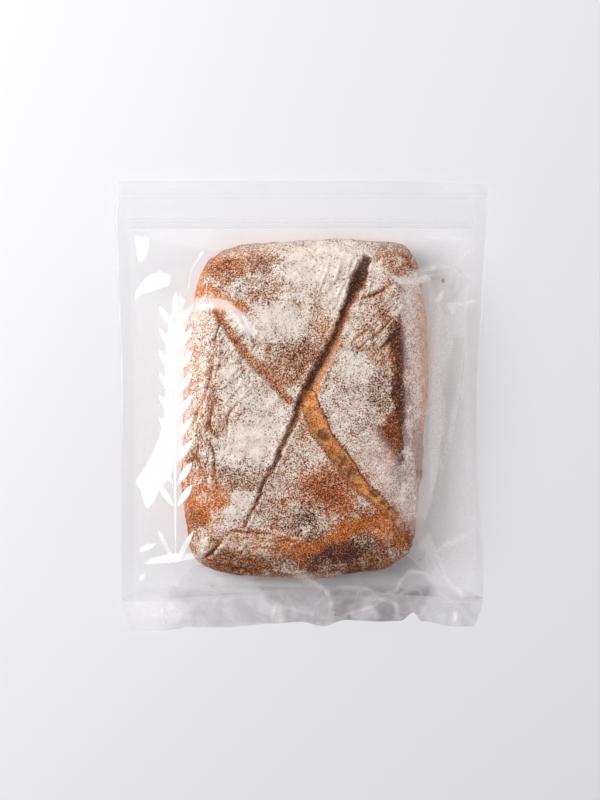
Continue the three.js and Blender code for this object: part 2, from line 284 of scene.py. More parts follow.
def rim_loop(rows, columns):
    """The numbers of a grid's rim points, once round it."""
    ids = np.arange(rows * columns).reshape(rows, columns)
    return np.concatenate([ids[0, :-1], ids[:-1, -1], ids[-1, :0:-1], ids[:0:-1, 0]])


def closed_sheet(grid, thickness):
    """A thin closed shell: the grid on top, its copy below and a ring of quads at the rim."""
    rows, columns = grid.shape[:2]
    below = grid - grid_normals(grid) * thickness
    count = rows * columns
    top = grid_quads(rows, columns)
    bottom = grid_quads(rows, columns, count)[:, ::-1]
    loop = rim_loop(rows, columns)
    after = np.roll(loop, -1)
    rim = np.stack([loop, loop + count, after + count, after], -1)
    points = np.concatenate([grid.reshape(-1, 3), below.reshape(-1, 3)])
    return points, np.concatenate([top, bottom, rim])


# %% Building node trees


def new_material(name):
    """A material with an empty node tree, and a short call that adds a node to it.

    The call takes the node's type, its own settings in `own`, and its inputs by socket
    name or number; an input is a number, a colour or another node's output.
    """
    material = bpy.data.materials.new(name)
    material.use_nodes = True
    tree = material.node_tree
    tree.nodes.clear()

    def add(kind, own=None, **inputs):
        node = tree.nodes.new("ShaderNode" + kind)
        for key, value in (own or {}).items():
            setattr(node, key, value)
        for key, value in inputs.items():
            socket = node.inputs[int(key[1:]) if key[0] == "_" else key.replace("_", " ")]
            if isinstance(value, bpy.types.NodeSocket):
                tree.links.new(value, socket)
            else:
                socket.default_value = value
        return node

    return material, add


def number(add, operation, a, b=0.0, c=0.0):
    """The output of one Math node."""
    return add("Math", {"operation": operation}, _0=a, _1=b, _2=c).outputs[0]


def between(add, value, low, high, to_low=0.0, to_high=1.0):
    """The value eased from one range to another, kept inside it."""
    own = {"interpolation_type": "SMOOTHSTEP"}
    node = add("MapRange", own, Value=value, From_Min=low, From_Max=high, To_Min=to_low, To_Max=to_high)
    return node.outputs[0]


def colour_mix(add, share, a, b, blend="MIX"):
    """The output of one colour Mix node."""
    node = add("Mix", {"data_type": "RGBA", "blend_type": blend}, _0=share, _6=a, _7=b)
    return node.outputs[2]


def paint(red, green, blue):
    """A colour given as it looks on screen, 0 to 255, turned into the linear light values."""
    screen = np.array([red, green, blue]) / 255
    linear = np.where(screen <= 0.04045, screen / 12.92, ((screen + 0.055) / 1.055) ** 2.4)
    return (*linear, 1.0)


# %% The table under it
table_material, add = new_material("pale_table")
shader = add("BsdfPrincipled", Base_Color=paint(240, 240, 243), Roughness=0.9)
add("OutputMaterial", Surface=shader.outputs[0])
table_mesh = bpy.data.meshes.new("table")
TABLE_HALF = 4.0
TABLE_CORNERS = [(-1, -1), (1, -1), (1, 1), (-1, 1)]
table_points = [(TABLE_HALF * cx, TABLE_HALF * cy, 0) for cx, cy in TABLE_CORNERS]
table_mesh.from_pydata(table_points, [], [(0, 1, 2, 3)])
table_mesh.materials.append(table_material)
table = bpy.data.objects.new("table", table_mesh)
bpy.context.scene.collection.objects.link(table)

# %% [markdown]
# ## The loaf's form
# The dough was tipped out flat, so the loaf is a rounded rectangle with a low crown. Its
# outline is four curves, its corners are those of a superellipse, its shoulder is a quarter
# round and it tucks in below the waist to a flat base. The four fields between the slashes
# swell on their own, as dough does when it opens along a cut.

# %% Outline and crown
LOAF_SHOULDER_HEIGHT = 32.0
LOAF_CROWN_RISE = 11.0
LOAF_WAIST_HEIGHT = 13.0
LOAF_SHOULDER_RADIUS = 24.0
LOAF_HALF_WIDTH = 98.0
LOAF_CORNER_POWER = 13.0
LOAF_TUCK = 9.0
LOAF_BASE_HEIGHT = 0.4
LOAF_LEFT = [(-140, -82), (-108, -91), (-60, -96.5), (20, -94.5), (58, -93), (85, -86), (131, -83)]
LOAF_RIGHT = [(-130, 89), (-84, 93), (-40, 97), (20, 101), (60, 100), (102, 95), (130, 90)]
LOAF_TOP = [(-88, 103), (-80, 113), (-72, 119.5), (-60, 125.5), (-44, 129.5), (-10, 132), (30, 134),
            (80, 132), (95, 129)]
LOAF_BOTTOM = [(-85, -130), (-50, -135.5), (16, -138), (55, -132.5), (90, -122)]
# Each field between the slashes: x and y of its middle, reach and rise
CRUST_FIELDS = [(-18, 84, 46, 2.6), (-58, -12, 44, 3.0), (12, -92, 44, 2.2), (58, 12, 46, 3.0)]


def loaf_place(p, q):
    """Shares across and along (-1 to 1) become x and y between the four outline curves."""
    x = mix(-LOAF_HALF_WIDTH, LOAF_HALF_WIDTH, (p + 1) / 2)
    for _ in range(3):
        y = mix(through(LOAF_BOTTOM, x), through(LOAF_TOP, x), (q + 1) / 2)
        x = mix(through(LOAF_LEFT, y), through(LOAF_RIGHT, y), (p + 1) / 2)
    return x, y


def loaf_radius(x, y):
    """0 in the middle and 1 on the outline: the superellipse (|p|^n + |q|^n)^(1/n)."""
    left, right = through(LOAF_LEFT, y), through(LOAF_RIGHT, y)
    bottom, top = through(LOAF_BOTTOM, x), through(LOAF_TOP, x)
    across = np.abs(2 * x - left - right) / (right - left)
    along = np.abs(2 * y - bottom - top) / (top - bottom)
    return (across**LOAF_CORNER_POWER + along**LOAF_CORNER_POWER) ** (1 / LOAF_CORNER_POWER)


def field_swell(x, y):
    """The sum of the humps of the four crust fields."""
    return sum(rise * hump(np.hypot(x - fx, y - fy), reach) for fx, fy, reach, rise in CRUST_FIELDS)


# %% [markdown]
# ## Slashes, cracks and wrinkles
# The baker's blade left a long slash from the top right to the bottom left, and two arms
# that meet it. The lower right arm tore wide open and shows the golden inside. The skin of
# flour between them dried, cracked and folded as the dough rose. All of them are lines on
# the photo, pushed into the crust as grooves with raised lips.

# %% Lines on the crust
CRUST_TOP = 42.0
LONG_SLASH = [(367, 258), (361, 274), (354, 292), (347, 308), (340, 327), (332, 345), (323, 363), (314, 380),
              (305, 398), (297, 415), (288, 433), (279, 455), (271, 471), (263, 486), (256, 504), (248, 519),
              (244, 528)]
UPPER_ARM = [(214, 311), (222, 320), (230, 332), (237, 341), (246, 354), (255, 364), (266, 374), (275, 385),
             (283, 396), (292, 403)]
LOWER_ARM = [(309, 398), (312, 409), (318, 424), (325, 438), (334, 451), (344, 464), (354, 479), (365, 490),
             (376, 499), (389, 512), (400, 525), (408, 541), (412, 552)]
FORK = [(339, 340), (331, 353), (323, 369), (317, 383), (312, 396), (311, 410), (313, 424), (316, 432)]
# (line, half-width and depth by the share of the way, height of its lips), in millimetres
SLASHES = {
    "long": (LONG_SLASH, [(0, 4.4), (0.08, 7.0), (0.2, 4.5), (0.32, 4.4), (0.42, 6.0), (0.52, 5.6),
                          (0.62, 2.9), (0.8, 2.2), (1, 1.2)],
             [(0, 4), (0.1, 6), (0.45, 5.5), (0.62, 3), (0.85, 1.8), (1, 0.6)], 0.8),
    "upper": (UPPER_ARM, [(0, 2.2), (0.3, 4.0), (0.7, 5.0), (1, 3.2)], [(0, 0.8), (0.3, 2.2), (1, 2.2)], 0.6),
    "fork": (FORK, [(0, 1.5), (0.2, 3.6), (0.5, 5.0), (0.8, 6.6), (1, 5.5)],
             [(0, 1.5), (0.3, 2.6), (0.7, 2.4), (1, 1.6)], 0.3),
    "lower": (LOWER_ARM, [(0, 6), (0.15, 6.8), (0.3, 6.4), (0.5, 5.9), (0.62, 5.0), (0.75, 3.8),
                          (0.9, 2.2), (1, 1.0)],
              [(0, 3), (0.2, 3.6), (0.6, 3.2), (0.8, 1.6), (1, 0.6)], 0.5),
}
# (line, depth, half-width, how dark its bottom is); depth and width in millimetres
CRACKS = [
    ([(382, 350), (389, 341), (398, 335), (404, 331)], 2.8, 1.8, 1.0),
    ([(360, 299), (371, 296), (382, 291), (391, 285)], 1.7, 1.3, 0.9),
    ([(374, 338), (382, 330), (389, 321), (394, 315)], 1.3, 1.2, 0.5),
    ([(371, 358), (380, 349), (386, 343), (391, 336), (397, 330), (395, 322), (391, 316)], 1.1, 1.1, 0.5),
    ([(356, 352), (367, 341), (375, 335)], 1.0, 1.0, 0.4),
    ([(350, 344), (360, 335), (372, 328)], 0.8, 0.9, 0.3),
    ([(376, 258), (386, 252), (398, 250), (408, 255), (412, 264)], 0.9, 1.4, 0.6),
    ([(208, 314), (216, 313), (220, 323), (216, 335), (215, 348)], 1.3, 1.2, 0.6),
    ([(214, 362), (210, 378), (204, 398), (197, 411), (193, 425)], 1.2, 1.2, 0.6),
    ([(213, 404), (210, 418), (209, 426), (215, 434), (223, 441)], 1.3, 1.1, 0.7),
    ([(206, 437), (212, 446), (215, 457), (215, 477), (219, 495)], 1.3, 1.1, 0.7),
    ([(199, 440), (196, 455), (201, 470), (198, 482)], 1.2, 1.2, 0.6),
    ([(189, 449), (196, 458), (185, 463)], 1.0, 1.0, 0.6),
    ([(244, 397), (232, 409), (227, 418), (227, 433), (226, 447)], 1.1, 1.0, 0.45),
    ([(222, 351), (219, 366), (214, 380)], 0.8, 1.0, 0.35),
    ([(257, 294), (272, 299), (290, 301)], 0.9, 0.9, 0.4),
    ([(291, 296), (299, 306), (307, 312)], 0.8, 0.8, 0.35),
    ([(236, 307), (244, 323), (253, 338), (258, 348)], 1.1, 0.9, 0.45),
    ([(240, 318), (249, 333), (255, 345), (250, 352)], 0.9, 0.8, 0.35),
    ([(213, 298), (226, 301), (240, 306)], 0.8, 1.2, 0.3),
    ([(222, 536), (235, 532), (246, 533), (268, 534), (280, 537)], 1.2, 1.1, 0.6),
    ([(222, 541), (211, 554), (203, 561)], 2.2, 1.5, 1.0),
    ([(252, 545), (273, 541), (290, 544), (295, 549)], 0.9, 0.9, 0.3),
    ([(245, 551), (262, 548), (280, 551)], 0.8, 0.8, 0.3),
    ([(216, 569), (235, 572), (254, 573)], 2.0, 2.0, 1.0),
    ([(400, 521), (406, 538), (411, 548)], 1.2, 1.1, 0.6),
    ([(374, 536), (382, 545), (387, 552)], 1.1, 0.9, 0.5),
    ([(391, 527), (398, 540), (402, 552)], 0.9, 0.9, 0.4),
    ([(424, 424), (422, 444), (419, 460), (419, 477), (422, 495)], 1.4, 1.6, 0.9),
    ([(297, 418), (306, 428), (302, 440)], 0.6, 0.8, 0.2),
    ([(330, 392), (336, 404), (348, 412)], 0.6, 0.9, 0.2),
]
# Skin that shrank in fine parallel folds: (x, y, half-length, half-width, turn, way of the folds)
PLEATS = [(232, 360, 34, 46, 0, 48), (382, 325, 28, 34, 20, 48), (203, 440, 18, 70, 0, 84),
          (268, 545, 44, 16, 0, -6), (345, 285, 30, 34, 0, 70), (398, 540, 20, 24, 0, -62),
          (225, 300, 28, 14, 0, -28)]


def slash_relief(x, y):
    """Grooves of the slashes: depth times (1 - (d/w)²)^0.8 inside the half-width w, with lips.

    Each slash also says how far within it a point lies (0 at its edge, 1 on its line), the
    share of the way along it, the side of it, and the distance as a share of the half-width.
    """
    groove, lips = np.zeros(x.shape), np.zeros(x.shape)
    cuts = {}
    for key, (line, widths, depths, lip) in SLASHES.items():
        distance, share, side = along_line(from_photo(line, CRUST_TOP), x, y)
        half = through(widths, share)
        bowl = np.clip(1 - (distance / half) ** 2, 0, 1)
        groove = np.maximum(groove, through(depths, share) * bowl**0.8)
        lips = np.maximum(lips, lip * hump(distance - half - 1.2, 1.6))
        within = np.clip(1.15 - distance / half, 0, 1)
        cuts[key] = SimpleNamespace(within=within, share=share, side=side, reach=distance / half)
    return lips * np.clip(1 - groove, 0, 1) - groove, cuts


def crack_relief(x, y):
    """Narrow dents with a low fold on both sides, and a mask of their dark bottoms."""
    relief = np.zeros(x.shape)
    dark = np.zeros(x.shape)
    for line, depth, width, shade in CRACKS:
        distance, share, _ = along_line(from_photo(line, CRUST_TOP), x, y)
        runs_out = np.sin(np.pi * mix(0.1, 0.9, share))
        relief -= depth * runs_out * hump(distance, width)
        relief += 0.35 * depth * runs_out * hump(distance - 2.4 * width, 1.5 * width)
        dark = np.maximum(dark, shade**0.6 * runs_out * hump(distance, 0.85 * width))
    return relief, dark


def pleat_relief(x, y, warp):
    """Fine folds: ridges (1 - |noise|)^6 of noise stretched four times along the folds."""
    relief = np.zeros(x.shape)
    for index, (px, py, long, wide, turn, way) in enumerate(PLEATS):
        reach = ellipse_reach(px, py, long, wide, turn, x, y)
        c, s = math.cos(math.radians(way)), math.sin(math.radians(way))
        u, v = x * c + y * s + 3 * warp, -x * s + y * c + 1.2 * warp
        folds = flat_noise(u / 4, v, 3.4, 300 + index)
        relief += ease((1.25 - reach) / 0.7) * (1 - np.abs(folds)) ** 6
    return relief


# %% [markdown]
# ## Flour, toast and char
# What makes this crust is colour in grains a millimetre wide: pale flour over brown, with
# orange where the flour was thin and near-black where the oven was hottest. Some forty
# soft patches say how floury, how dark and how golden the crust is near
# them; between patches the values run together, and noise frays them. The grain itself
# comes later, in the material.

# %% Patches of flour and bake
# (x, y, half-length, half-width, turn in degrees) in photo pixels, then flour, bake, toast
PATCHES = [
    ((232, 268, 32, 14, 8), 0.32, 0.46, 0.70), ((264, 264, 16, 12, 0), 0.38, 0.62, 0.20),
    ((200, 280, 10, 20, 0), 0.36, 0.20, 0.90), ((222, 301, 28, 7, -22), 0.34, 0.25, 0.85),
    ((325, 268, 44, 24, 0), 0.90, 0.30, 0.00), ((335, 305, 22, 22, 0), 0.80, 0.35, 0.05),
    ((275, 322, 38, 22, 0), 0.86, 0.42, 0.05), ((321, 321, 12, 14, 0), 0.34, 0.45, 0.70),
    ((300, 358, 30, 18, 22), 0.36, 0.56, 0.25), ((232, 365, 22, 36, 0), 0.70, 0.40, 0.15),
    ((262, 405, 30, 24, 0), 0.76, 0.42, 0.05), ((243, 448, 26, 20, 0), 0.90, 0.36, 0.00),
    ((250, 479, 26, 11, 8), 0.44, 0.56, 0.15), ((233, 508, 20, 12, 20), 0.78, 0.32, 0.30),
    ((206, 500, 22, 24, 0), 0.34, 0.34, 0.80), ((192, 520, 9, 22, 0), 0.28, 0.52, 0.45),
    ((202, 380, 12, 50, 0), 0.52, 0.35, 0.30), ((240, 564, 34, 11, 0), 0.28, 0.60, 0.40),
    ((262, 545, 42, 10, 0), 0.60, 0.24, 0.70), ((303, 452, 22, 24, 0), 0.56, 0.36, 0.40),
    ((326, 490, 26, 18, -30), 0.20, 0.52, 0.85), ((302, 522, 14, 13, 0), 0.36, 0.86, 0.05),
    ((300, 548, 30, 8, 0), 0.14, 0.42, 0.95), ((352, 526, 34, 9, 18), 0.04, 0.52, 1.00),
    ((390, 526, 18, 16, -40), 0.22, 0.42, 0.90), ((345, 556, 38, 16, 4), 0.12, 0.84, 0.60),
    ((364, 544, 13, 9, 0), 0.46, 0.85, 0.05), ((396, 560, 24, 11, 8), 0.42, 0.56, 0.45),
    ((348, 412, 24, 26, 0), 0.62, 0.42, 0.30), ((373, 384, 14, 22, 0), 0.46, 0.62, 0.10),
    ((358, 368, 18, 12, -30), 0.74, 0.40, 0.10), ((398, 350, 8, 26, 0), 0.06, 0.94, 0.40),
    ((400, 400, 8, 34, 0), 0.02, 0.94, 0.50), ((394, 438, 12, 18, 0), 0.02, 0.74, 0.80),
    ((400, 465, 9, 16, 0), 0.30, 0.90, 0.15), ((414, 350, 9, 70, 0), 0.56, 0.30, 0.55),
    ((424, 360, 5, 70, 0), 0.24, 0.35, 0.90), ((421, 460, 5, 40, 0), 0.18, 0.66, 0.80),
    ((382, 470, 26, 22, -45), 0.50, 0.36, 0.80), ((372, 308, 26, 18, -20), 0.57, 0.50, 0.40),
    ((398, 264, 16, 13, 0), 0.42, 0.50, 0.60), ((265, 290, 24, 10, 10), 0.50, 0.46, 0.30),
    ((205, 440, 12, 44, 0), 0.54, 0.48, 0.20), ((290, 505, 22, 18, 0), 0.46, 0.42, 0.40),
    ((412, 540, 8, 20, 0), 0.30, 0.55, 0.60),
]
PLAIN_CRUST = (0.56, 0.43, 0.30)
PLAIN_WEIGHT = 0.08


def ellipse_reach(px, py, long, wide, turn, x, y):
    """0 in the middle of an ellipse given in photo pixels and 1 on its rim."""
    cx, cy = from_photo((px, py), CRUST_TOP)
    pixel = FRAME_HEIGHT / PICTURE_PIXELS[1]
    c, s = math.cos(math.radians(turn)), math.sin(math.radians(turn))
    u = ((x - cx) * c + (y - cy) * s) / (long * pixel)
    v = (-(x - cx) * s + (y - cy) * c) / (wide * pixel)
    return np.hypot(u, v)


def patch_fields(x, y):
    """Flour, bake and toast: the mean of the patches weighted by exp(-2.1 reach²)."""
    total = np.full((*x.shape, 3), 1.0) * np.array(PLAIN_CRUST) * PLAIN_WEIGHT
    weight = np.full(x.shape, PLAIN_WEIGHT)
    for ellipse, *values in PATCHES:
        near = np.exp(-2.1 * ellipse_reach(*ellipse, x, y) ** 2)
        total = total + near[..., None] * np.array(values)
        weight = weight + near
    return np.moveaxis(total / weight[..., None], -1, 0)


# %% Making the loaf
CRUST_COLUMNS = 285
CRUST_ROWS = 305
UNDER_RINGS = 7
FLAT_SHARE = 0.7


def loaf_form():
    """The loaf as a grid of top and sides plus rings that close it underneath.

    A square grid is bent so that its outer squares become the rounded outline; the last
    rings of it turn down over the shoulder by the sine and cosine of a quarter turn. The
    cosine is given back too: 1 on top and 0 at the waist.
    """
    a, b = np.meshgrid(np.linspace(-1, 1, CRUST_COLUMNS), np.linspace(-1, 1, CRUST_ROWS))
    ring = np.maximum(np.maximum(np.abs(a), np.abs(b)), 1e-6)
    over = np.clip((ring - FLAT_SHARE) / (1 - FLAT_SHARE), 0, 1) * np.pi / 2
    shoulder = LOAF_SHOULDER_RADIUS / LOAF_HALF_WIDTH
    on_top = np.cos(over)
    inner, outer = ring / FLAT_SHARE * (1 - shoulder), 1 - shoulder + shoulder * np.sin(over)
    radius = np.where(ring < FLAT_SHARE, inner, outer)
    power = np.abs(a / ring) ** LOAF_CORNER_POWER + np.abs(b / ring) ** LOAF_CORNER_POWER
    corner = np.maximum(power, 1.0) ** (-1 / LOAF_CORNER_POWER)
    rounded = mix(1.0, corner, ring**2)
    x, y = loaf_place(a / ring * radius * rounded, b / ring * radius * rounded)
    crown = LOAF_SHOULDER_HEIGHT + LOAF_CROWN_RISE * (1 - radius**2) + field_swell(x, y)
    return np.stack([x, y, mix(LOAF_WAIST_HEIGHT, crown, on_top)], -1), on_top


# Noises in the crust, each with its cell in mm, its seed and its octaves
WARP, FRAY, NICK = (20.0, 11, 3), (7.0, 15, 3), (2.6, 17, 3)
BROAD_LUMPS, SMALL_LUMPS = (46.0, 21, 2), (15.0, 31, 2)
BLISTERS, PIMPLES, HOLES = (5.5, 41, 2), (2.0, 51, 1), (5.0, 71, 2)
# Heights in mm
BROAD_LUMP_HEIGHT, SMALL_LUMP_HEIGHT = 1.2, 0.5
BLISTER_HEIGHT, PIMPLE_HEIGHT = 0.36, 0.26
PLEAT_HEIGHT, HOLE_DEPTH = 1.6, 2.0
# Share of the way along a slash where the long one turns thin and the lower one stops tearing
LONG_TURNS_THIN = 0.62
TEAR_ENDS = 0.95
# Inside the slashes: (part, gain of its mask, how baked), then (part, gain, how golden)
SLASH_BAKE = [("fork", 1.8, 0.19), ("dark_wall", 1.8, 0.88), ("bright_wall", 1.5, 0.24),
              ("thin_line", 1.6, 0.54), ("upper", 1.8, 0.47)]
SLASH_TOAST = [("fork", 1.8, 0.60), ("long", 1.5, 0.15), ("upper", 1.8, 0.62)]
RIM_BAKE, CRACK_BAKE, TORN_TOAST, FORK_CRUMB = 0.92, 0.9, 0.9, 0.55
CUT_FLOUR, TORN_FLOUR, FLANK_LOSS = 0.34, 0.02, 0.25


def crust_marks(form):
    """The noises, folds, slashes and cracks at each place of the crust.

    Slashes and cracks are looked up at places moved by noise, which frays their edges.
    """
    x, y = form[..., 0], form[..., 1]
    warp, fray, nick = (rough_noise(form, *noise) for noise in (WARP, FRAY, NICK))
    blisters = BLISTER_HEIGHT * rough_noise(form, *BLISTERS) + PIMPLE_HEIGHT * rough_noise(form, *PIMPLES)
    frayed_x = x + 0.7 * warp + 0.6 * fray + 0.7 * nick
    frayed_y = y + 0.7 * warp - 0.6 * fray - 0.5 * nick
    slashes, cuts = slash_relief(frayed_x, frayed_y)
    cracks, dark_crack = crack_relief(x + 0.5 * warp, y + 0.5 * warp)
    lower = cuts["lower"]
    torn = steeper(lower.within, 1.5) * ease((TEAR_ENDS - lower.share) / 0.2)
    holes = np.clip(rough_noise(form, *HOLES) - 0.1, 0, 1) * torn * ease((lower.share - 0.12) / 0.15)
    cut = steeper(np.max([slash.within for slash in cuts.values()], axis=0), 1.3)
    return SimpleNamespace(warp=warp, fray=fray, nick=nick, blisters=blisters, slashes=slashes,
                           pleats=pleat_relief(x, y, warp), cuts=cuts, cut=cut, torn=torn,
                           holes=holes, cracks=cracks, dark_crack=dark_crack)


def crust_relief(form, on_top, marks):
    """Lumps, blisters, folds, slashes, holes and cracks added up, in mm along the normal."""
    broad = BROAD_LUMP_HEIGHT * rough_noise(form, *BROAD_LUMPS)
    small = SMALL_LUMP_HEIGHT * rough_noise(form, *SMALL_LUMPS)
    skin = (broad + small + marks.blisters) * mix(1.0, 0.5, marks.cut)
    skin = skin + PLEAT_HEIGHT * marks.pleats * (1 - marks.cut)
    return skin + marks.slashes * ease(on_top / 0.55) - HOLE_DEPTH * marks.holes + marks.cracks


def slash_parts(cuts):
    """The mask of each slash, and of the parts of the long one: its dark left wall, its
    bright right wall and the thin line it ends in."""
    long = cuts["long"]
    upper_part = ease((LONG_TURNS_THIN - long.share) / 0.08)
    left_wall = ease((1.2 - long.side * long.reach * 2.4) / 2.4)
    dark = mix(left_wall, 1.0, ease((0.16 - long.share) / 0.1))
    bright = (1 - left_wall) * ease((long.share - 0.1) / 0.12)
    parts = {key: cut.within for key, cut in cuts.items()}
    parts["dark_wall"] = long.within * upper_part * dark
    parts["bright_wall"] = long.within * upper_part * bright
    parts["thin_line"] = long.within * (1 - upper_part)
    return parts


def crust_tones(form, on_top, marks):
    """Flour, bake, toast, crumb and the painted shade in holes at each point, all between 0 and 1."""
    moved = 4 * marks.warp + 4 * marks.fray
    flour, bake, toast = patch_fields(form[..., 0] + moved, form[..., 1] - moved + 1.5 * marks.nick)
    folded = 0.34 * (marks.pleats - 0.35) * (marks.pleats > 0.01)
    flour = flour + 0.09 * marks.fray + folded - 0.10 * np.clip(-marks.blisters, 0, 1)
    bake = bake + 0.08 * marks.warp - 0.05 * marks.fray
    parts, lower = slash_parts(marks.cuts), marks.cuts["lower"]
    for part, gain, tone in SLASH_BAKE:
        bake = mix(bake, tone, steeper(parts[part], gain))
    for part, gain, tone in SLASH_TOAST:
        toast = mix(toast, tone, steeper(parts[part], gain))
    rim = hump(lower.reach - 1.05, 0.16) * mix(0.6, 1.0, lower.side > 0)
    bake = np.maximum(np.maximum(bake, RIM_BAKE * rim), CRACK_BAKE * marks.dark_crack)
    toast = np.maximum(toast, TORN_TOAST * steeper(lower.within, 1.4))
    in_fork = FORK_CRUMB * steeper(parts["fork"], 1.4) * (1 - steeper(parts["dark_wall"], 1.6))
    crumb = np.maximum(marks.torn * (1 - 0.9 * rim), in_fork)
    left_flour = mix(CUT_FLOUR, TORN_FLOUR, np.maximum(steeper(parts["dark_wall"], 1.8), marks.torn))
    flour = mix(flour, left_flour, steeper(marks.cut, 1.3)) * (1 - 0.75 * steeper(marks.dark_crack, 1.3))
    flour = flour * (1 - 0.8 * rim * (lower.share < 0.8)) - FLANK_LOSS * (1 - on_top) ** 2
    tones = dict(flour=flour, bake=bake, toast=toast, crumb=crumb, pit=2.5 * marks.holes)
    return {key: np.clip(value, 0, 1) for key, value in tones.items()}


def close_underneath(grid, values):
    """Rings from the waist in to the flat base, ending in one fan round the middle."""
    rows, columns = grid.shape[:2]
    loop = rim_loop(rows, columns)
    waist = grid.reshape(-1, 3)[loop]
    middle = np.append(waist[:, :2].mean(axis=0), LOAF_BASE_HEIGHT)
    outward = waist[:, :2] - middle[:2]
    outward /= np.linalg.norm(outward, axis=1, keepdims=True)
    turn = np.linspace(0, np.pi / 2, UNDER_RINGS + 1)[1:]
    rings = []
    for angle in turn:
        ring = waist.copy()
        ring[:, :2] -= outward * LOAF_TUCK * (1 - np.cos(angle))
        ring[:, 2] = mix(waist[:, 2], LOAF_BASE_HEIGHT, np.sin(angle))
        rings.append(ring)
    rings.append(mix(rings[-1], middle, 0.5))
    count, turns = len(loop), len(rings)
    points = np.concatenate([grid.reshape(-1, 3), *rings, [middle]])
    ring_ids = np.concatenate([loop[None], rows * columns + np.arange(turns * count).reshape(turns, count)])
    here, after = ring_ids, np.roll(ring_ids, -1, axis=1)
    walls = np.stack([here[:-1], here[1:], after[1:], after[:-1]], -1).reshape(-1, 4)
    fan = np.stack([here[-1], np.full(count, len(points) - 1), after[-1]], -1)
    faces = [*grid_quads(rows, columns), *walls, *fan]
    extra = turns * count + 1
    per_point = {key: np.concatenate([value.ravel(), np.full(extra, value.ravel()[loop].mean())])
                 for key, value in values.items()}
    return points, faces, per_point


form, on_top = loaf_form()
marks = crust_marks(form)
crust_grid = form + grid_normals(form) * crust_relief(form, on_top, marks)[..., None]
loaf_points, loaf_faces, loaf_values = close_underneath(crust_grid, crust_tones(form, on_top, marks))
print("loaf height, mm:", crust_grid[..., 2].max().round(1))

# %% [markdown]
# ## The crust's finish
# Three noises make the grain: cells as big as grains of flour, a grit and a broad mottle.
# Their sum, the speck, says at each place whether flour covers the crust: it does where the
# speck stands above an edge that sinks as the flour value rises. Under the flour, the bake
# value darkened by low specks picks a shade from a brown and a golden ramp, and the toast
# value mixes the two. The torn slash has a ramp of its own.

# %% The crust's material
crust, add = new_material("baked_crust")
place = add("TexCoord").outputs["Object"]
read = {key: add("Attribute", {"attribute_name": key}).outputs["Fac"] for key in loaf_values}
grain = add("TexVoronoi", Vector=place, Scale=1500.0).outputs["Color"]
grit = add("TexNoise", Vector=place, Scale=900.0, Detail=2.0, Roughness=0.5).outputs[0]
mottle = add("TexNoise", Vector=place, Scale=120.0, Detail=4.0, Roughness=0.6).outputs[0]
speck = number(add, "MULTIPLY_ADD", grain, 0.25, number(add, "MULTIPLY_ADD", grit, 0.58, -0.025))
speck = number(add, "MULTIPLY_ADD", mottle, 0.22, speck)
dark_speck = number(add, "MULTIPLY_ADD", number(add, "SUBTRACT", 0.5, speck), 3.0, read["bake"])
bake_here = number(add, "MULTIPLY_ADD", number(add, "SUBTRACT", mottle, 0.5), 0.35, dark_speck)
CRUST_SHADES = [(0.0, (226, 172, 124)), (0.25, (198, 130, 80)), (0.5, (150, 80, 34)),
                (0.75, (98, 42, 12)), (1.0, (38, 16, 5))]
GOLDEN_SHADES = [(0.0, (242, 172, 100)), (0.25, (222, 128, 44)), (0.5, (176, 80, 12)),
                 (0.75, (112, 42, 5)), (1.0, (48, 18, 4))]
CRUMB_SHADES = [(0.0, (240, 186, 124)), (0.35, (216, 136, 66)), (0.65, (162, 82, 26)), (1.0, (72, 38, 14))]


def shade_ramp(value, shades):
    """A colour ramp through (place, screen colour) pairs."""
    ramp = add("ValToRGB", Fac=value)
    while len(ramp.color_ramp.elements) < len(shades):
        ramp.color_ramp.elements.new(0.5)
    for stop, (where, shade) in zip(ramp.color_ramp.elements, shades):
        stop.position = where
        stop.color = paint(*shade)
    return ramp.outputs[0]


brown, golden = shade_ramp(bake_here, CRUST_SHADES), shade_ramp(bake_here, GOLDEN_SHADES)
baked = colour_mix(add, read["toast"], brown, golden)
open_crumb = number(add, "MULTIPLY_ADD", number(add, "SUBTRACT", mottle, grit), 2.2, 0.29)
torn_tone = shade_ramp(open_crumb, CRUMB_SHADES)
crumbed = colour_mix(add, number(add, "MULTIPLY", read["crumb"], 0.85), baked, torn_tone)
# Painted shade: the crumb darkens to a deep brown in the torn slash's holes.
hole_shaded = colour_mix(add, number(add, "MULTIPLY", read["pit"], 0.8), crumbed, paint(96, 60, 24))
edge = number(add, "MULTIPLY_ADD", read["flour"], -0.33, 0.66)
dusted = between(add, speck, number(add, "SUBTRACT", edge, 0.065), number(add, "ADD", edge, 0.065))
fresh_flour = colour_mix(add, between(add, mottle, 0.3, 0.7), paint(234, 218, 202), paint(250, 241, 229))
flour_tone = colour_mix(add, between(add, read["flour"], 0.1, 0.62), paint(216, 164, 122), fresh_flour)
colour = colour_mix(add, number(add, "MULTIPLY", dusted, 0.93), hole_shaded, flour_tone)
height = number(add, "MULTIPLY_ADD", speck, 1.0, number(add, "MULTIPLY", mottle, 0.5))
bump = add("Bump", Strength=0.5, Distance=0.0009, Height=height).outputs[0]
rough = number(add, "MULTIPLY_ADD", dusted, 0.2, 0.68)
shader = add("BsdfPrincipled", Base_Color=colour, Roughness=rough, Specular_IOR_Level=0.12, Normal=bump)
add("OutputMaterial", Surface=shader.outputs[0])

make_piece("loaf", loaf_points, loaf_faces, crust, "crust", "bag", **loaf_values)

# %% [markdown]
# ## The pouch's outline
# The film is welded along both sides, at the header and to the gusset. These lines say
# where the welds run and how high they float; its width and length are the frame's own.

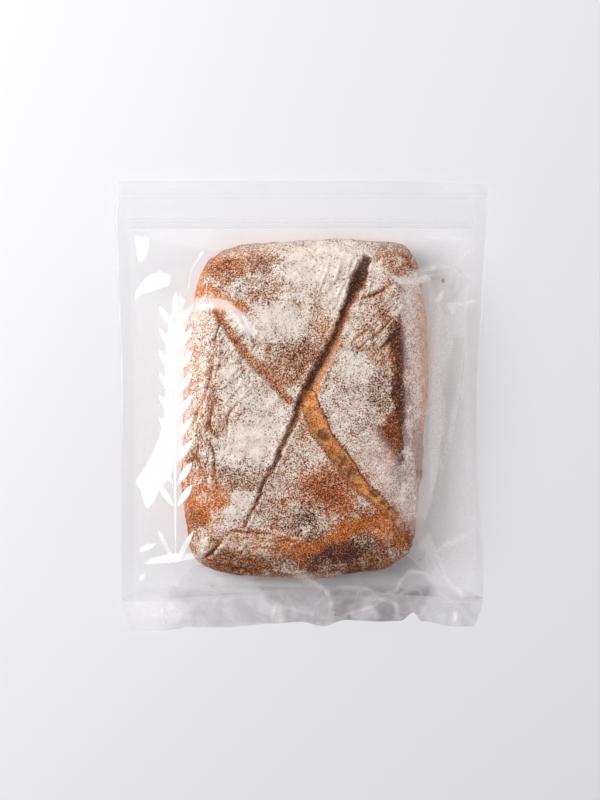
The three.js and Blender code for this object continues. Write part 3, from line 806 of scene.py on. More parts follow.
# %% Lines of the pouch
# All in millimetres; the names with LOW, HIGH or HEIGHT are heights above the table, apart
# from ZIP_LOW_Y and ZIP_HIGH_Y, which are the zip's lower and upper edge
POUCH_HALF_WIDTH = BAG_HIGH[0].round()
POUCH_HALF_LENGTH = BAG_HIGH[1].round(1)
CORNER_RADIUS = 5.0
SIDE_SEAL = 11.0
SIDE_WAIST = {-1: 5.6, 1: 8.4}
GUSSET_TAPER = 6.5
TEAR_NOTCH_Y = 165.3
TEAR_NOTCH_DEPTH = 1.2
TEAR_NOTCH_REACH = 3.0
TOP_DROOP = 2.6
HEM_Y = -156.5
HEM_PULL = 9.0
HEM_LOW = 4.5
HEM_HIGH = 10.5
SEAM_LOW = 5.5
SEAM_BOW = 6.5
SEAM_AT_GUSSET = 1.6
SEAM_TO_ZIP = 20.0
SEAM_FRONT = 0.9
SEAM_BACK = 0.6
ZIP_Y = 147.2
ZIP_LOW_Y = ZIP_Y - 4.8
ZIP_HIGH_Y = ZIP_Y + 4.8
ZIP_TOP_HEIGHT = 8.6
TOP_EDGE_HEIGHT = 2.4
GUSSET_EDGE = [(-150, -179.4), (-134, -181.4), (-112, -181), (-90, -178.5), (-60, -178.6), (-25, -175.5),
               (0, -174), (17, -177.5), (36, -172.5), (62, -173.8), (80, -173.2), (90, -166.5),
               (97, -173.5), (122, -177.5), (140, -177.6), (150, -172)]


def side_edge(side, y):
    """Half the width, less the pull of the loaf, a taper at the gusset and a tear notch."""
    pulled_in = ease((POUCH_HALF_LENGTH - y) / POUCH_HALF_LENGTH)
    opens_again = 0.5 * ease((-40 - y) / 100) if side > 0 else 0.0
    taper = GUSSET_TAPER * ease((HEM_Y - y) / (POUCH_HALF_LENGTH + HEM_Y))
    notch = TEAR_NOTCH_DEPTH * hump(y - TEAR_NOTCH_Y, TEAR_NOTCH_REACH)
    return side * (POUCH_HALF_WIDTH - SIDE_WAIST[side] * (pulled_in - opens_again) - taper - notch)


def top_edge(x):
    """A straight edge with rounded corners that droops at the right."""
    from_corner = np.clip(np.abs(x) - (POUCH_HALF_WIDTH - CORNER_RADIUS), 0, CORNER_RADIUS)
    rounding = CORNER_RADIUS - np.sqrt(CORNER_RADIUS**2 - from_corner**2)
    return POUCH_HALF_LENGTH - rounding - TOP_DROOP * ease((x - 70) / 75)


def hem_line(x):
    """The front panel's lower hem, pulled up in the middle by the loaf."""
    return HEM_Y + HEM_PULL * hump(x - 12, 70)


def hem_height(x):
    """The hem floats highest in the middle."""
    return mix(HEM_LOW, HEM_HIGH, hump(x, 85))


def seam_height(y):
    """The side seams bow up between hem and zip and come down at both ends."""
    along = np.clip((y - HEM_Y) / (ZIP_Y - HEM_Y), 0, 1)
    bowed = SEAM_LOW + SEAM_BOW * np.sin(np.pi * along)
    to_top = ease((y - ZIP_Y) / (POUCH_HALF_LENGTH - ZIP_Y))
    to_gusset = ease((HEM_Y - y) / (POUCH_HALF_LENGTH + HEM_Y))
    return mix(mix(bowed, TOP_EDGE_HEIGHT, to_top), SEAM_AT_GUSSET, to_gusset)


def near_zip(y):
    """0 up to a seam's last stretch below the zip, and 1 from the zip on."""
    return ease(1 - (ZIP_LOW_Y - y) / SEAM_TO_ZIP)


def front_seam_height(y):
    """The front film's height along its side seams, which rise or sink to meet the zip."""
    return mix(seam_height(y) + SEAM_FRONT, ZIP_TOP_HEIGHT, near_zip(y))


# %% [markdown]
# ## Draping the front film
# The front panel is a stiff clear sheet, pinned at its welds, hem and zip, that lies on the
# loaf. Such a sheet can't stretch, so it breaks into near-flat facets with crisp creases
# between them. The solver below keeps to that: it is a tight skin over the crust, except
# that inside each facet every pair of neighbouring points is asked for the height
# difference of that facet's slope. What can't be met is shared out evenly, which is what
# rounds off the ends of a real crease.

# %% The panel's grid
PANEL_COLUMNS = 177
PANEL_ROWS = 201


def panel_grid(columns, rows):
    """x and y of the panel's points: even between the seals and between hem and zip."""
    u = np.linspace(0, 1, columns)[None, :]
    v = np.linspace(0, 1, rows)[:, None]
    y = mix(HEM_Y, ZIP_LOW_Y, v) + 0 * u
    for _ in range(3):
        x = mix(side_edge(-1, y) + SIDE_SEAL, side_edge(1, y) - SIDE_SEAL, u)
        y = mix(hem_line(x), ZIP_LOW_Y, v)
    return x, y


def panel_held(x, y):
    """Heights at the panel's rim: seams, hem and zip; not a number where it is free."""
    held = np.full(x.shape, np.nan)
    seam = front_seam_height(y)
    held[0] = hem_height(x[0])
    held[:, 0], held[:, -1] = seam[:, 0], seam[:, -1]
    held[-1] = ZIP_TOP_HEIGHT
    return held


# The crust's tops are kept in square cells over a rectangle that is wider than the loaf
CELL = 2.0
CELLS_HALF_WIDTH = 130.0
CELLS_HALF_LENGTH = 160.0
NO_CRUST = -1.0
OPEN_FILM_LEAST = 1.2


def crust_tops():
    """The highest crust point in each cell, shared half-way with the neighbouring cells."""
    cells = np.full((int(2 * CELLS_HALF_LENGTH / CELL), int(2 * CELLS_HALF_WIDTH / CELL)), NO_CRUST)
    column = ((crust_grid[..., 0] + CELLS_HALF_WIDTH) / CELL).astype(int)
    row = ((crust_grid[..., 1] + CELLS_HALF_LENGTH) / CELL).astype(int)
    np.maximum.at(cells, (row, column), crust_grid[..., 2])
    spread = cells.copy()
    for axis in (0, 1):
        for way in (-1, 1):
            spread = np.maximum(spread, mix(cells, np.roll(cells, way, axis), 0.5))
    return spread


CRUST_TOPS = crust_tops()


def crust_carrier(x, y, gap):
    """Height that the film can't go below: the crust's tops plus a gap, or the back film's."""
    row, column = (y + CELLS_HALF_LENGTH) / CELL - 0.5, (x + CELLS_HALF_WIDTH) / CELL - 0.5
    return np.maximum(read_grid(CRUST_TOPS, row, column) + gap, OPEN_FILM_LEAST)


def resampled(grid, rows, columns):
    """The grid read off at another number of rows and columns, straight between points."""
    row = np.linspace(0, grid.shape[0] - 1, rows)[:, None]
    column = np.linspace(0, grid.shape[1] - 1, columns)[None, :]
    return read_grid(grid, row, column)


OVER_RELAX = 1.8


def settle(z, held, carrier, steps, weights, passes):
    """Relax towards the asked-for height steps, never below the carrier.

    A free point moves to the weighted mean of (neighbour - asked step to it), and as many
    times too far as OVER_RELAX says; red and black points of a chessboard move in turn.
    """
    (step_x, step_y), (firm_x, firm_y) = steps, weights
    rows, columns = z.shape
    free = np.isnan(held)
    z = np.where(free, z, held)
    chess = (np.add.outer(np.arange(rows), np.arange(columns)) % 2).astype(bool)
    firm = np.zeros(z.shape)
    firm[:, 1:] += firm_x
    firm[:, :-1] += firm_x
    firm[1:] += firm_y
    firm[:-1] += firm_y
    for k in range(2 * passes):
        total = np.zeros(z.shape)
        total[:, 1:] += firm_x * (z[:, :-1] + step_x)
        total[:, :-1] += firm_x * (z[:, 1:] - step_x)
        total[1:] += firm_y * (z[:-1] + step_y)
        total[:-1] += firm_y * (z[1:] - step_y)
        better = np.maximum(carrier, z + OVER_RELAX * (total / firm - z))
        z = np.where(free & (chess == bool(k % 2)), better, z)
    return z


# %% The back film
BACK_COLUMNS = 121
BACK_ROWS = 147
BACK_PASSES = 300
BACK_ON_TABLE = 0.2
BACK_BELOW_ZIP = 2.4
BACK_BELOW_SEAM = 0.3
EDGE_MIDDLE_HEIGHT = 0.6
EDGE_CORNER_HEIGHT = 1.6
HEADER_WELD = 12.0


def bottom_edge_height(x):
    """The pouch's lower edge lies low in the middle and lifts a little at its corners."""
    return mix(EDGE_MIDDLE_HEIGHT, EDGE_CORNER_HEIGHT, (x / POUCH_HALF_WIDTH) ** 4)


def back_film():
    """Flat on the table under the loaf, and a tight skin from there up to the welds."""
    t = np.linspace(-1, 1, BACK_COLUMNS)[None, :]
    v = np.linspace(0, 1, BACK_ROWS)[:, None]
    y = mix(-POUCH_HALF_LENGTH, POUCH_HALF_LENGTH, v) + 0 * t
    for _ in range(4):
        x = np.where(t < 0, -t * side_edge(-1, y), t * side_edge(1, y))
        y = mix(through(GUSSET_EDGE, x), top_edge(x), v)
    held = np.full(x.shape, np.nan)
    in_seal = (x < side_edge(-1, y) + SIDE_SEAL) | (x > side_edge(1, y) - SIDE_SEAL)
    zip_back = ZIP_TOP_HEIGHT - BACK_BELOW_SEAM
    seam = mix(seam_height(y) + SEAM_BACK, zip_back, near_zip(y) * (y < ZIP_HIGH_Y))
    held[in_seal] = seam[in_seal]
    up = np.clip((y - ZIP_HIGH_Y) / (top_edge(x) - ZIP_HIGH_Y), 0, 1)
    held = np.where(y > ZIP_HIGH_Y, mix(zip_back, TOP_EDGE_HEIGHT + SEAM_BACK, up), held)
    in_zip = (y > ZIP_LOW_Y) & (y <= ZIP_HIGH_Y) & ~in_seal
    held = np.where(in_zip, ZIP_TOP_HEIGHT - BACK_BELOW_ZIP, held)
    held[0] = bottom_edge_height(x[0])
    held = np.where(loaf_radius(x, y) < 0.97, BACK_ON_TABLE, held)
    z = np.where(np.isnan(held), 3.0, held)
    level, even = np.zeros(x.shape), np.ones(x.shape)
    steps, weights = (level[:, 1:], level[1:]), (even[:, 1:], even[1:])
    z = settle(z, held, np.full(x.shape, BACK_ON_TABLE), steps, weights, BACK_PASSES)
    weld = np.maximum(in_seal * 1.0, 0.7 * (y > POUCH_HALF_LENGTH - HEADER_WELD))
    return np.stack([x, y, z], -1), weld


back_grid, back_weld = back_film()

# %% Facets and creases read off the photo
# (outline in photo pixels, where it faces in degrees, tilt in degrees, edge softness in mm)
FACETS = [
    # left margin: low ground by the weld, then the bright climb on to the loaf
    ([(126, 305), (172, 305), (167, 345), (167, 403), (164, 428), (148, 463), (137, 477), (126, 480)],
     180, 8, 2.0),
    ([(170, 329), (178, 318), (189, 311), (193, 304), (203, 302), (213, 306), (216, 317), (214, 335),
      (208, 355), (204, 371), (197, 395), (195, 427), (186, 448), (178, 462), (165, 478), (157, 494),
      (152, 511), (148, 534), (145, 511), (141, 491), (137, 477), (148, 463), (159, 443), (165, 427),
      (168, 403), (168, 347)], 160, 27, 1.4),
    ([(152, 515), (160, 494), (170, 480), (182, 470), (186, 500), (190, 540), (160, 535), (150, 540)],
     185, 17, 2.0),
    # upper left corner
    ([(129, 231), (139, 237), (149, 242), (149, 250), (145, 258), (138, 262), (134, 250), (130, 238)],
     160, 27, 1.4),
    ([(131, 299), (133, 289), (140, 278), (147, 273), (159, 269), (172, 273), (179, 284), (165, 288),
      (150, 291), (141, 293)], 160, 27, 1.4),
    ([(150, 240), (205, 257), (196, 268), (186, 290), (181, 286), (173, 271), (159, 267), (146, 271),
      (139, 277), (131, 292), (128, 262), (139, 264), (147, 258), (151, 250)], 110, 6, 2.0),
    # lower left corner
    ([(137, 556), (145, 543), (160, 540), (152, 551)], 158, 28, 1.2),
    ([(144, 565), (150, 557), (176, 553), (197, 552), (197, 559), (170, 564)], 145, 28, 1.2),
    ([(140, 572), (144, 574), (143, 582), (137, 586)], 165, 32, 1.0),
    ([(164, 576), (169, 576), (165, 583), (155, 586)], 165, 32, 1.0),
    # right margin: the veil beside the loaf, the lens and the low ground by the weld
    ([(402, 300), (412, 272), (425, 276), (438, 302), (445, 320), (455, 345), (447, 370), (436, 400),
      (440, 430), (441, 455), (436, 480), (430, 505), (424, 525), (414, 510), (405, 450), (402, 380)],
     3, 28, 1.6),
    ([(457, 348), (466, 340), (462, 365), (458, 392), (452, 415), (448, 440), (442, 460), (443, 430),
      (439, 400), (449, 372)], 340, 9, 1.6),
    ([(443, 470), (452, 445), (456, 410), (462, 390), (466, 370), (468, 450), (470, 530), (440, 545),
      (432, 520)], 340, 12, 1.6),
    # upper left corner of the loaf, where the film drops steeply
    ([(190, 268), (203, 254), (209, 262), (206, 301), (194, 302), (189, 296)], 150, 52, 1.2),
    # lower right corner
    ([(430, 530), (440, 556), (447, 570), (443, 592), (434, 578), (424, 560), (421, 545)], 10, 30, 1.4),
    ([(456, 590), (464, 588), (471, 602), (462, 602)], 20, 28, 1.0),
]
# A small bright chip, a flat plate turned to the window: outline, where it faces, tilt
CHIP = [(453, 276), (457, 269), (459, 272), (456, 283), (452, 289)]
CHIP_FACES = 165
CHIP_TILT = 29
CHIP_SOFTNESS = 1.1
# (line in photo pixels, rise in mm, half-width in mm on its left and on its right)
CREASES = [
    ([(129, 231), (150, 237), (167, 242), (196, 251), (209, 256)], 1.4, 4, 6),
    ([(405, 240), (430, 243), (455, 242), (473, 240)], 1.8, 3, 4),
    ([(455, 267), (462, 276), (470, 284)], 1.2, 2.5, 3.0),
    ([(450, 304), (460, 294), (470, 283), (480, 281)], 1.4, 2.5, 3.0),
    ([(461, 371), (463, 392), (461, 402)], 0.9, 1.8, 1.8),
    ([(470, 460), (472, 490), (473, 530), (474, 570)], 1.3, 2.5, 3.0),
    ([(425, 548), (436, 567), (452, 590), (462, 600)], 1.6, 3.0, 3.0),
    ([(128, 594), (160, 594), (168, 590)], 0.9, 2.5, 2.5),
    ([(320, 586), (345, 586), (367, 589), (389, 596)], 2.0, 2.4, 2.6),
    ([(408, 572), (423, 573), (431, 580), (436, 591), (443, 599)], 2.0, 2.5, 3.0),
    ([(336, 601), (354, 598), (370, 600), (384, 601), (400, 596)], 1.2, 2.0, 2.0),
    ([(210, 575), (240, 582), (280, 584), (320, 586)], 1.1, 3.0, 3.0),
    ([(230, 596), (262, 592), (300, 594)], 0.8, 3.0, 3.0),
]
FACET_FIRMNESS = 20.0
FACET_PLANE = 22.0
CREST = 0.5
CREASE_ENDS = (0.08, 0.92)


def polygon_mask(outline, x, y, soft):
    """1 inside a closed outline and 0 outside, eased over the softness at its edge.

    Inside is told by counting the outline's crossings of a ray along +x.
    """
    points = from_photo(outline, FACET_PLANE)
    inside = np.zeros(x.shape, bool)
    for (ax, ay), (bx, by) in zip(points, np.roll(points, -1, axis=0)):
        crosses = (ay > y) != (by > y)
        where = ax + (y - ay) / (by - ay if by != ay else 1e-9) * (bx - ax)
        inside ^= crosses & (x < where)
    distance, _, _ = along_line([*points, points[0]], x, y)
    return ease(0.5 + np.where(inside, distance, -distance) / (2 * soft))


def asked_steps(x, y):
    """Height steps to the right and to the upper neighbour, and how firmly each is asked.

    A facet that faces azimuth a with tilt t has the slope (-cos a, -sin a) tan t.
    """
    slope = np.zeros((*x.shape, 2))
    firm = np.ones(x.shape)
    for outline, faces, tilt, soft in FACETS:
        mask = polygon_mask(outline, x, y, soft)
        turn = math.radians(faces)
        wanted = -math.tan(math.radians(tilt)) * np.array([math.cos(turn), math.sin(turn)])
        slope = mix(slope, wanted, mask[..., None])
        firm = np.maximum(firm, mix(1.0, FACET_FIRMNESS, mask))
    steps, weights = [], []
    for here, there in (((slice(None), slice(0, -1)), (slice(None), slice(1, None))),
                        ((slice(0, -1), slice(None)), (slice(1, None), slice(None)))):
        mean = (slope[here] + slope[there]) / 2
        steps.append(mean[..., 0] * (x[there] - x[here]) + mean[..., 1] * (y[there] - y[here]))
        weights.append(np.minimum(firm[here], firm[there]))
    return steps, weights


def crease_rise(creases, plane, ends, x, y):
    """Tents along the creases: straight flanks of their own widths and a crest rounded by
    CREST, fading out along the line as a sine does between the two ends given."""
    rise = np.zeros(x.shape)
    for line, height, left, right in creases:
        distance, share, side = along_line(from_photo(line, plane), x, y)
        flank = np.clip(1 - np.hypot(distance, CREST) / np.where(side > 0, left, right), 0, 1)
        rise = rise + height * flank * np.sin(np.pi * mix(*ends, share))
    return rise


def with_chip(x, y, z):
    """The chip is the plane of its own slope through the middle of the film it replaces."""
    mask = polygon_mask(CHIP, x, y, CHIP_SOFTNESS)
    cx, cy, cz = ((value * mask).sum() / mask.sum() for value in (x, y, z))
    turn, slope = math.radians(CHIP_FACES), math.tan(math.radians(CHIP_TILT))
    plane = cz - slope * (math.cos(turn) * (x - cx) + math.sin(turn) * (y - cy))
    return mix(z, plane, mask)


# (every how many grid points, passes of the solver), from coarse to fine
LEVELS = [(4, 700), (2, 400), (1, 260)]
FIRST_HEIGHT = 20.0
CRUST_GAP = 0.3


def draped_panel():
    """From coarse to fine: each level starts from the one before, read off finer."""
    z = np.full((2, 2), FIRST_HEIGHT)
    for fineness, passes in LEVELS:
        rows, columns = (PANEL_ROWS - 1) // fineness + 1, (PANEL_COLUMNS - 1) // fineness + 1
        x, y = panel_grid(columns, rows)
        z = resampled(z, rows, columns)
        z = settle(z, panel_held(x, y), crust_carrier(x, y, CRUST_GAP), *asked_steps(x, y), passes)
    return x, y, z


panel_x, panel_y, panel_z = draped_panel()
off_rim = np.zeros(panel_x.shape)
off_rim[1:-1, 1:-1] = 1
panel_z = panel_z + crease_rise(CREASES, FACET_PLANE, CREASE_ENDS, panel_x, panel_y) * off_rim
panel_z = mix(panel_z, with_chip(panel_x, panel_y, panel_z), off_rim)
print("front film, mm:", panel_z.min().round(1), panel_z.max().round(1))

# %% [markdown]
# ## Sheets of the pouch
# Three sheets make the pouch: the front panel with its side seals and header, the back
# panel, and the gusset between their lower edges. Along the sides front and back run close
# together, with the marks of the weld. Each sheet is a closed shell of about a tenth of a
# millimetre, as real film is.

# %% Where the film gets painted sheen, painted fold highlights, stacked layers and painted shade
# Painted sheen on the film, as a flecked milk: painted reflections, painted glints and painted light that
# lifts the loaf's shade beside it: (outline in photo pixels, strength, softness)
PAINTED_SHEEN = [
    ([(131, 229), (474, 229), (452, 236), (425, 250), (400, 256), (300, 256), (230, 254), (195, 247),
      (160, 238)], 0.20, 2.5),
    ([(427, 270), (438, 298), (446, 318), (453, 345), (446, 368), (438, 392), (439, 425), (441, 445),
      (437, 470), (432, 500), (427, 528), (422, 500), (428, 430), (430, 340)], 0.42, 1.8),
    ([(398, 292), (412, 274), (424, 290), (429, 340), (429, 400), (424, 450), (424, 470), (404, 470),
      (403, 440), (404, 400), (402, 350)], 0.36, 2.0),
    ([(355, 440), (375, 427), (400, 465), (424, 480), (426, 520), (422, 545), (405, 520), (384, 492),
      (360, 462)], 0.50, 5.0),
    ([(196, 300), (210, 298), (228, 301), (243, 314), (258, 334), (250, 338), (236, 322), (224, 310),
      (208, 309), (196, 313)], 1.20, 1.4),
    ([(387, 274), (399, 279), (412, 279), (429, 273), (430, 280), (414, 286), (399, 286)], 1.30, 1.6),
    ([(265, 577), (420, 577), (424, 592), (390, 595), (330, 590), (270, 592)], 0.14, 3.0),
    ([(424, 530), (436, 548), (450, 560), (452, 596), (436, 592), (426, 560)], 0.35, 3.0),
    ([(430, 300), (470, 300), (474, 590), (440, 590), (428, 540), (436, 440), (440, 380)], 0.42, 4.0),
    ([(131, 290), (180, 300), (178, 400), (176, 560), (136, 580)], 0.20, 6.0),
    ([(440, 262), (474, 242), (476, 300), (450, 306), (438, 290)], 0.22, 3.0),
    ([(437, 300), (449, 320), (457, 345), (447, 362), (441, 378), (446, 400), (447, 425), (440, 450),
      (437, 480), (431, 510), (428, 470), (430, 380)], 0.80, 1.5),
    # chips of creased film, painted as glints
    ([(458, 262), (466, 250), (475, 241), (472, 250), (463, 263), (458, 268)], 1.5, 1.6),
    ([(434, 302), (440, 292), (445, 288), (444, 296), (440, 303)], 1.5, 1.5),
    ([(447, 302), (476, 299), (476, 302), (458, 307), (453, 316), (449, 309)], 1.5, 1.5),
    ([(435, 552), (448, 541), (472, 532), (468, 539), (451, 548), (439, 555)], 1.3, 1.6),
    ([(296, 577), (306, 574), (317, 584), (327, 591), (322, 595), (310, 587)], 0.8, 1.4),
]
# Painted highlights along the folds, laid on as milk: (line in photo pixels, half-width in mm, strength)
PAINTED_FOLD_HIGHLIGHTS = [
    ([(388, 277), (398, 281), (408, 281), (418, 274), (432, 268), (450, 267), (462, 272), (471, 281)],
     2.6, 1.7),
    ([(418, 279), (434, 276), (452, 273), (458, 262), (472, 243)], 1.6, 1.0),
    ([(404, 241), (430, 237), (455, 237), (474, 240)], 1.6, 0.7),
    ([(452, 290), (462, 283), (471, 275), (479, 281)], 1.5, 0.5),
    ([(467, 337), (463, 362), (461, 391), (455, 416), (446, 446), (437, 480), (434, 497)], 1.5, 1.0),
    ([(472, 463), (474, 500), (475, 545), (474, 600)], 1.4, 0.6),
    ([(425, 500), (430, 530), (436, 548), (446, 562), (455, 580), (464, 600)], 1.9, 0.6),
    ([(440, 556), (455, 570), (462, 596)], 1.8, 0.4),
    ([(296, 576), (306, 575), (317, 585), (327, 592), (331, 604), (331, 622)], 1.5, 2.0),
    ([(327, 589), (345, 587), (365, 589), (380, 596), (396, 592), (402, 580), (410, 572), (424, 573),
      (433, 582), (440, 594), (450, 600)], 1.6, 0.9),
    ([(330, 597), (352, 598), (370, 600), (385, 601), (400, 596), (412, 587)], 1.3, 0.7),
    ([(200, 578), (240, 583), (280, 585), (325, 587)], 1.8, 0.45),
    ([(180, 588), (220, 590), (250, 592), (300, 594)], 1.5, 0.35),
    ([(128, 582), (160, 584), (200, 588)], 1.8, 0.35),
    ([(112, 603), (140, 604), (160, 606), (174, 604)], 1.1, 0.9),
    ([(162, 605), (163, 616), (166, 628)], 1.2, 1.2),
    ([(172, 604), (186, 611), (196, 622)], 1.2, 0.6),
    ([(210, 606), (216, 610), (232, 607)], 1.0, 0.8),
    ([(276, 606), (277, 616), (279, 626)], 4.2, 1.5),
    ([(274, 604), (290, 610), (310, 615), (330, 622)], 1.2, 0.6),
    ([(180, 627), (210, 630), (240, 626), (262, 628)], 1.0, 0.9),
    ([(341, 619), (352, 614), (368, 609), (392, 604)], 1.2, 0.9),
    ([(354, 616), (372, 614), (388, 606), (402, 596)], 1.0, 0.6),
    ([(404, 600), (412, 609), (416, 621)], 1.3, 0.6),
    ([(418, 603), (424, 612), (419, 622)], 1.5, 0.9),
    ([(434, 603.5), (458, 603), (484, 603)], 0.8, 0.7),
    ([(430, 613), (446, 612.5), (461, 613)], 0.8, 0.6),
    ([(457, 611), (456, 629)], 3.2, 1.5),
    ([(126, 612), (160, 614), (205, 618)], 9.0, 0.8),
    ([(425, 607), (450, 607), (484, 607)], 0.7, 0.4),
]
FOLD_HIGHLIGHT_PLANE = 12.0
# Stacked layers let less light through, and the same tint is painted shade of the loaf on the film below it:
# (outline in photo pixels, strength, softness)
LAYERS_AND_PAINTED_SHADE = [
    ([(178, 600), (250, 598), (330, 596), (430, 594), (434, 640), (170, 640)], 0.50, 16.0),
    ([(262, 592), (340, 588), (432, 590), (432, 640), (270, 640)], 0.62, 8.0),
    ([(330, 592), (424, 592), (412, 640), (330, 640)], 0.95, 7.0),
    ([(424, 600), (486, 600), (486, 640), (424, 640)], 0.30, 5.0),
    ([(262, 560), (420, 560), (436, 590), (430, 597), (300, 599), (250, 595)], 0.14, 9.0),
]


def marked(outlines, x, y):
    """The strongest of the outlines' masks at each place."""
    masks = [strength * polygon_mask(outline, x, y, soft) for outline, strength, soft in outlines]
    return np.max(masks, axis=0)


def painted_fold_highlights(x, y):
    """The strongest of the painted fold highlights at each place, fading out at both ends."""
    white = np.zeros(x.shape)
    patchy = 0.7 + 0.5 * flat_noise(x, y, 5.0, 61)
    for line, width, strength in PAINTED_FOLD_HIGHLIGHTS:
        distance, share, _ = along_line(from_photo(line, FOLD_HIGHLIGHT_PLANE), x, y)
        fold = hump(distance, width) * np.sin(np.pi * mix(0.1, 0.9, share))
        white = np.maximum(white, strength * patchy * fold)
    return white


# %% Front film with its seals and header
FILM_THICKNESS = 0.12
SEAL_COLUMNS = 7
ZIP_ROWS = 6
HEADER_ROWS = 40
HEADER_LINE_ROWS = (193.5, 198)
HEADER_PLANE = 6.0


def shares_along(counts, part):
    """0 before one part of a row of points, 0 to 1 along it and 1 after it.

    The first part has a point at its start; in the others the start is the last part's end.
    """
    before, count, after = sum(counts[:part]), counts[part], sum(counts[part + 1:])
    ramp = np.linspace(0, 1, count) if part == 0 else np.linspace(0, 1, count + 1)[1:]
    return np.concatenate([np.zeros(before), ramp, np.ones(after)])


def whole_front():
    """The panel widened by the side seals and lengthened by the zip band and the header."""
    v = shares_along((PANEL_ROWS, ZIP_ROWS, HEADER_ROWS), 0)[:, None]
    in_zip = shares_along((PANEL_ROWS, ZIP_ROWS, HEADER_ROWS), 1)[:, None]
    in_header = shares_along((PANEL_ROWS, ZIP_ROWS, HEADER_ROWS), 2)[:, None]
    u = np.pad(np.linspace(0, 1, PANEL_COLUMNS), SEAL_COLUMNS, "edge")[None, :]
    out = np.pad(np.zeros(PANEL_COLUMNS), SEAL_COLUMNS, "linear_ramp", end_values=(-1, 1))[None, :]
    y = mix(HEM_Y, ZIP_LOW_Y, v) + 0 * u
    for _ in range(4):
        x = mix(side_edge(-1, y) + SIDE_SEAL, side_edge(1, y) - SIDE_SEAL, u) + out * SIDE_SEAL
        y = mix(hem_line(x), ZIP_LOW_Y, v)
        y = mix(mix(y, ZIP_HIGH_Y, in_zip), top_edge(x), in_header)
    header = mix(ZIP_TOP_HEIGHT, TOP_EDGE_HEIGHT + SEAM_FRONT, in_header)
    z = np.where(in_header > 0, header, front_seam_height(y))
    inner = slice(SEAL_COLUMNS, SEAL_COLUMNS + PANEL_COLUMNS)
    z[:PANEL_ROWS, inner] = panel_z
    weld = np.clip(np.abs(out) * 4, 0, 1) + 0 * y
    weld = np.maximum(weld, 0.7 * ease((y - (POUCH_HALF_LENGTH - HEADER_WELD)) / 1.5))
    return np.stack([x, y, z], -1), weld


front_grid, front_weld = whole_front()

# %% [markdown]
# ## The film's finish
# Light goes straight through the film, a little greyer where layers are stacked; the same grey-pink tint is
# painted shade where the loaf's shadow falls on the gusset.
# A thin milk is painted sheen: painted reflections and glints on the film's slopes and
# creases, and painted light that lifts the shade beside the loaf. A mirror lies over all of it, weak face on
# and growing with the fifth power of how edge-on the film is seen. Ripples, orange peel and the crimps
# of the welds are a fine bump under that mirror.

# %% The film's material
film, add = new_material("clear_film")
place = add("TexCoord").outputs["Object"]
weld = add("Attribute", {"attribute_name": "weld"}).outputs["Fac"]
ripple = add("TexNoise", Vector=place, Scale=26.0, Detail=3.0, Roughness=0.55).outputs[0]
orange_peel = add("TexNoise", Vector=place, Scale=240.0, Detail=2.0, Roughness=0.5).outputs[0]
crimps = add("TexWave", {"wave_type": "BANDS", "bands_direction": "X"}, Vector=place, Scale=190.0,
             Distortion=0.6, Detail=1.0).outputs["Fac"]
relief = number(add, "MULTIPLY_ADD", orange_peel, 0.03, number(add, "MULTIPLY", ripple, 0.5))
relief = number(add, "MULTIPLY_ADD", number(add, "MULTIPLY", crimps, weld), 0.06, relief)
bump = add("Bump", Strength=0.5, Distance=0.0012, Height=relief).outputs[0]
facing = add("LayerWeight", Blend=0.5).outputs["Facing"]
grazing = number(add, "POWER", facing, 5.0)
mirror = number(add, "MULTIPLY_ADD", grazing, 0.9, 0.015)
dusty = add("Attribute", {"attribute_name": "dusty"}).outputs["Fac"]
stacked = add("Attribute", {"attribute_name": "stacked"}).outputs["Fac"]
flecks = add("TexNoise", Vector=place, Scale=900.0, Detail=2.0, Roughness=0.6).outputs[0]
flecks = number(add, "MULTIPLY_ADD", between(add, flecks, 0.35, 0.65), 0.3, 0.6)
streaks = add("TexNoise", Vector=place, Scale=60.0, Detail=3.0, Roughness=0.6, Distortion=1.2).outputs[0]
# The welds' milk is the film's own haze; the sheen marks add milk as painted reflections, painted glints and
# painted light that lifts shade.
haze_and_painted_sheen = number(add, "MULTIPLY_ADD", weld, 0.012, 0.004)
haze_and_painted_sheen = number(add, "MULTIPLY_ADD", number(add, "MULTIPLY", dusty, flecks), 0.42, haze_and_painted_sheen)
# A grey-pink tint on the light through the film: stacked layers, and painted shade below the loaf.
layer = number(add, "MULTIPLY", stacked, between(add, streaks, 0.1, 0.7))
layer_and_shade_tint = colour_mix(add, layer, (0.99, 0.99, 0.991, 1), (0.68, 0.655, 0.655, 1))
clear = add("BsdfTransparent", Color=layer_and_shade_tint)
milk_and_painted_sheen = add("BsdfPrincipled", Base_Color=paint(250, 244, 243), Roughness=0.5)
body = add("MixShader", _0=haze_and_painted_sheen, _1=clear.outputs[0], _2=milk_and_painted_sheen.outputs[0])
gloss = add("BsdfGlossy", Color=(1, 1, 1, 1), Roughness=0.07, Normal=bump)
sheet = add("MixShader", _0=mirror, _1=body.outputs[0], _2=gloss.outputs[0])
add("OutputMaterial", Surface=sheet.outputs[0])


def lay_film(name, grid, **marks):
    """A sheet of film as a closed shell that throws no shadow of its own.

    Each mark (the weld, the painted sheen, and the stacked layers with painted shade) is given once per grid
    point, for both faces.
    """
    points, faces = closed_sheet(grid, FILM_THICKNESS)
    both = {key: np.tile(mark.ravel(), 2) for key, mark in marks.items()}
    sheet = make_piece(name, points, faces, film, "clear_film", "bag", **both)
    sheet.visible_shadow = False


fx, fy = front_grid[..., 0], front_grid[..., 1]
header_lines = sum(hump(fy - from_photo((0, row), HEADER_PLANE)[1], 0.6) for row in HEADER_LINE_ROWS)
front_painted_sheen = np.maximum(marked(PAINTED_SHEEN, fx, fy), painted_fold_highlights(fx, fy))
lay_film("film_front", front_grid, weld=front_weld, dusty=front_painted_sheen,
         stacked=0.07 * header_lines + 0.05 * front_weld)

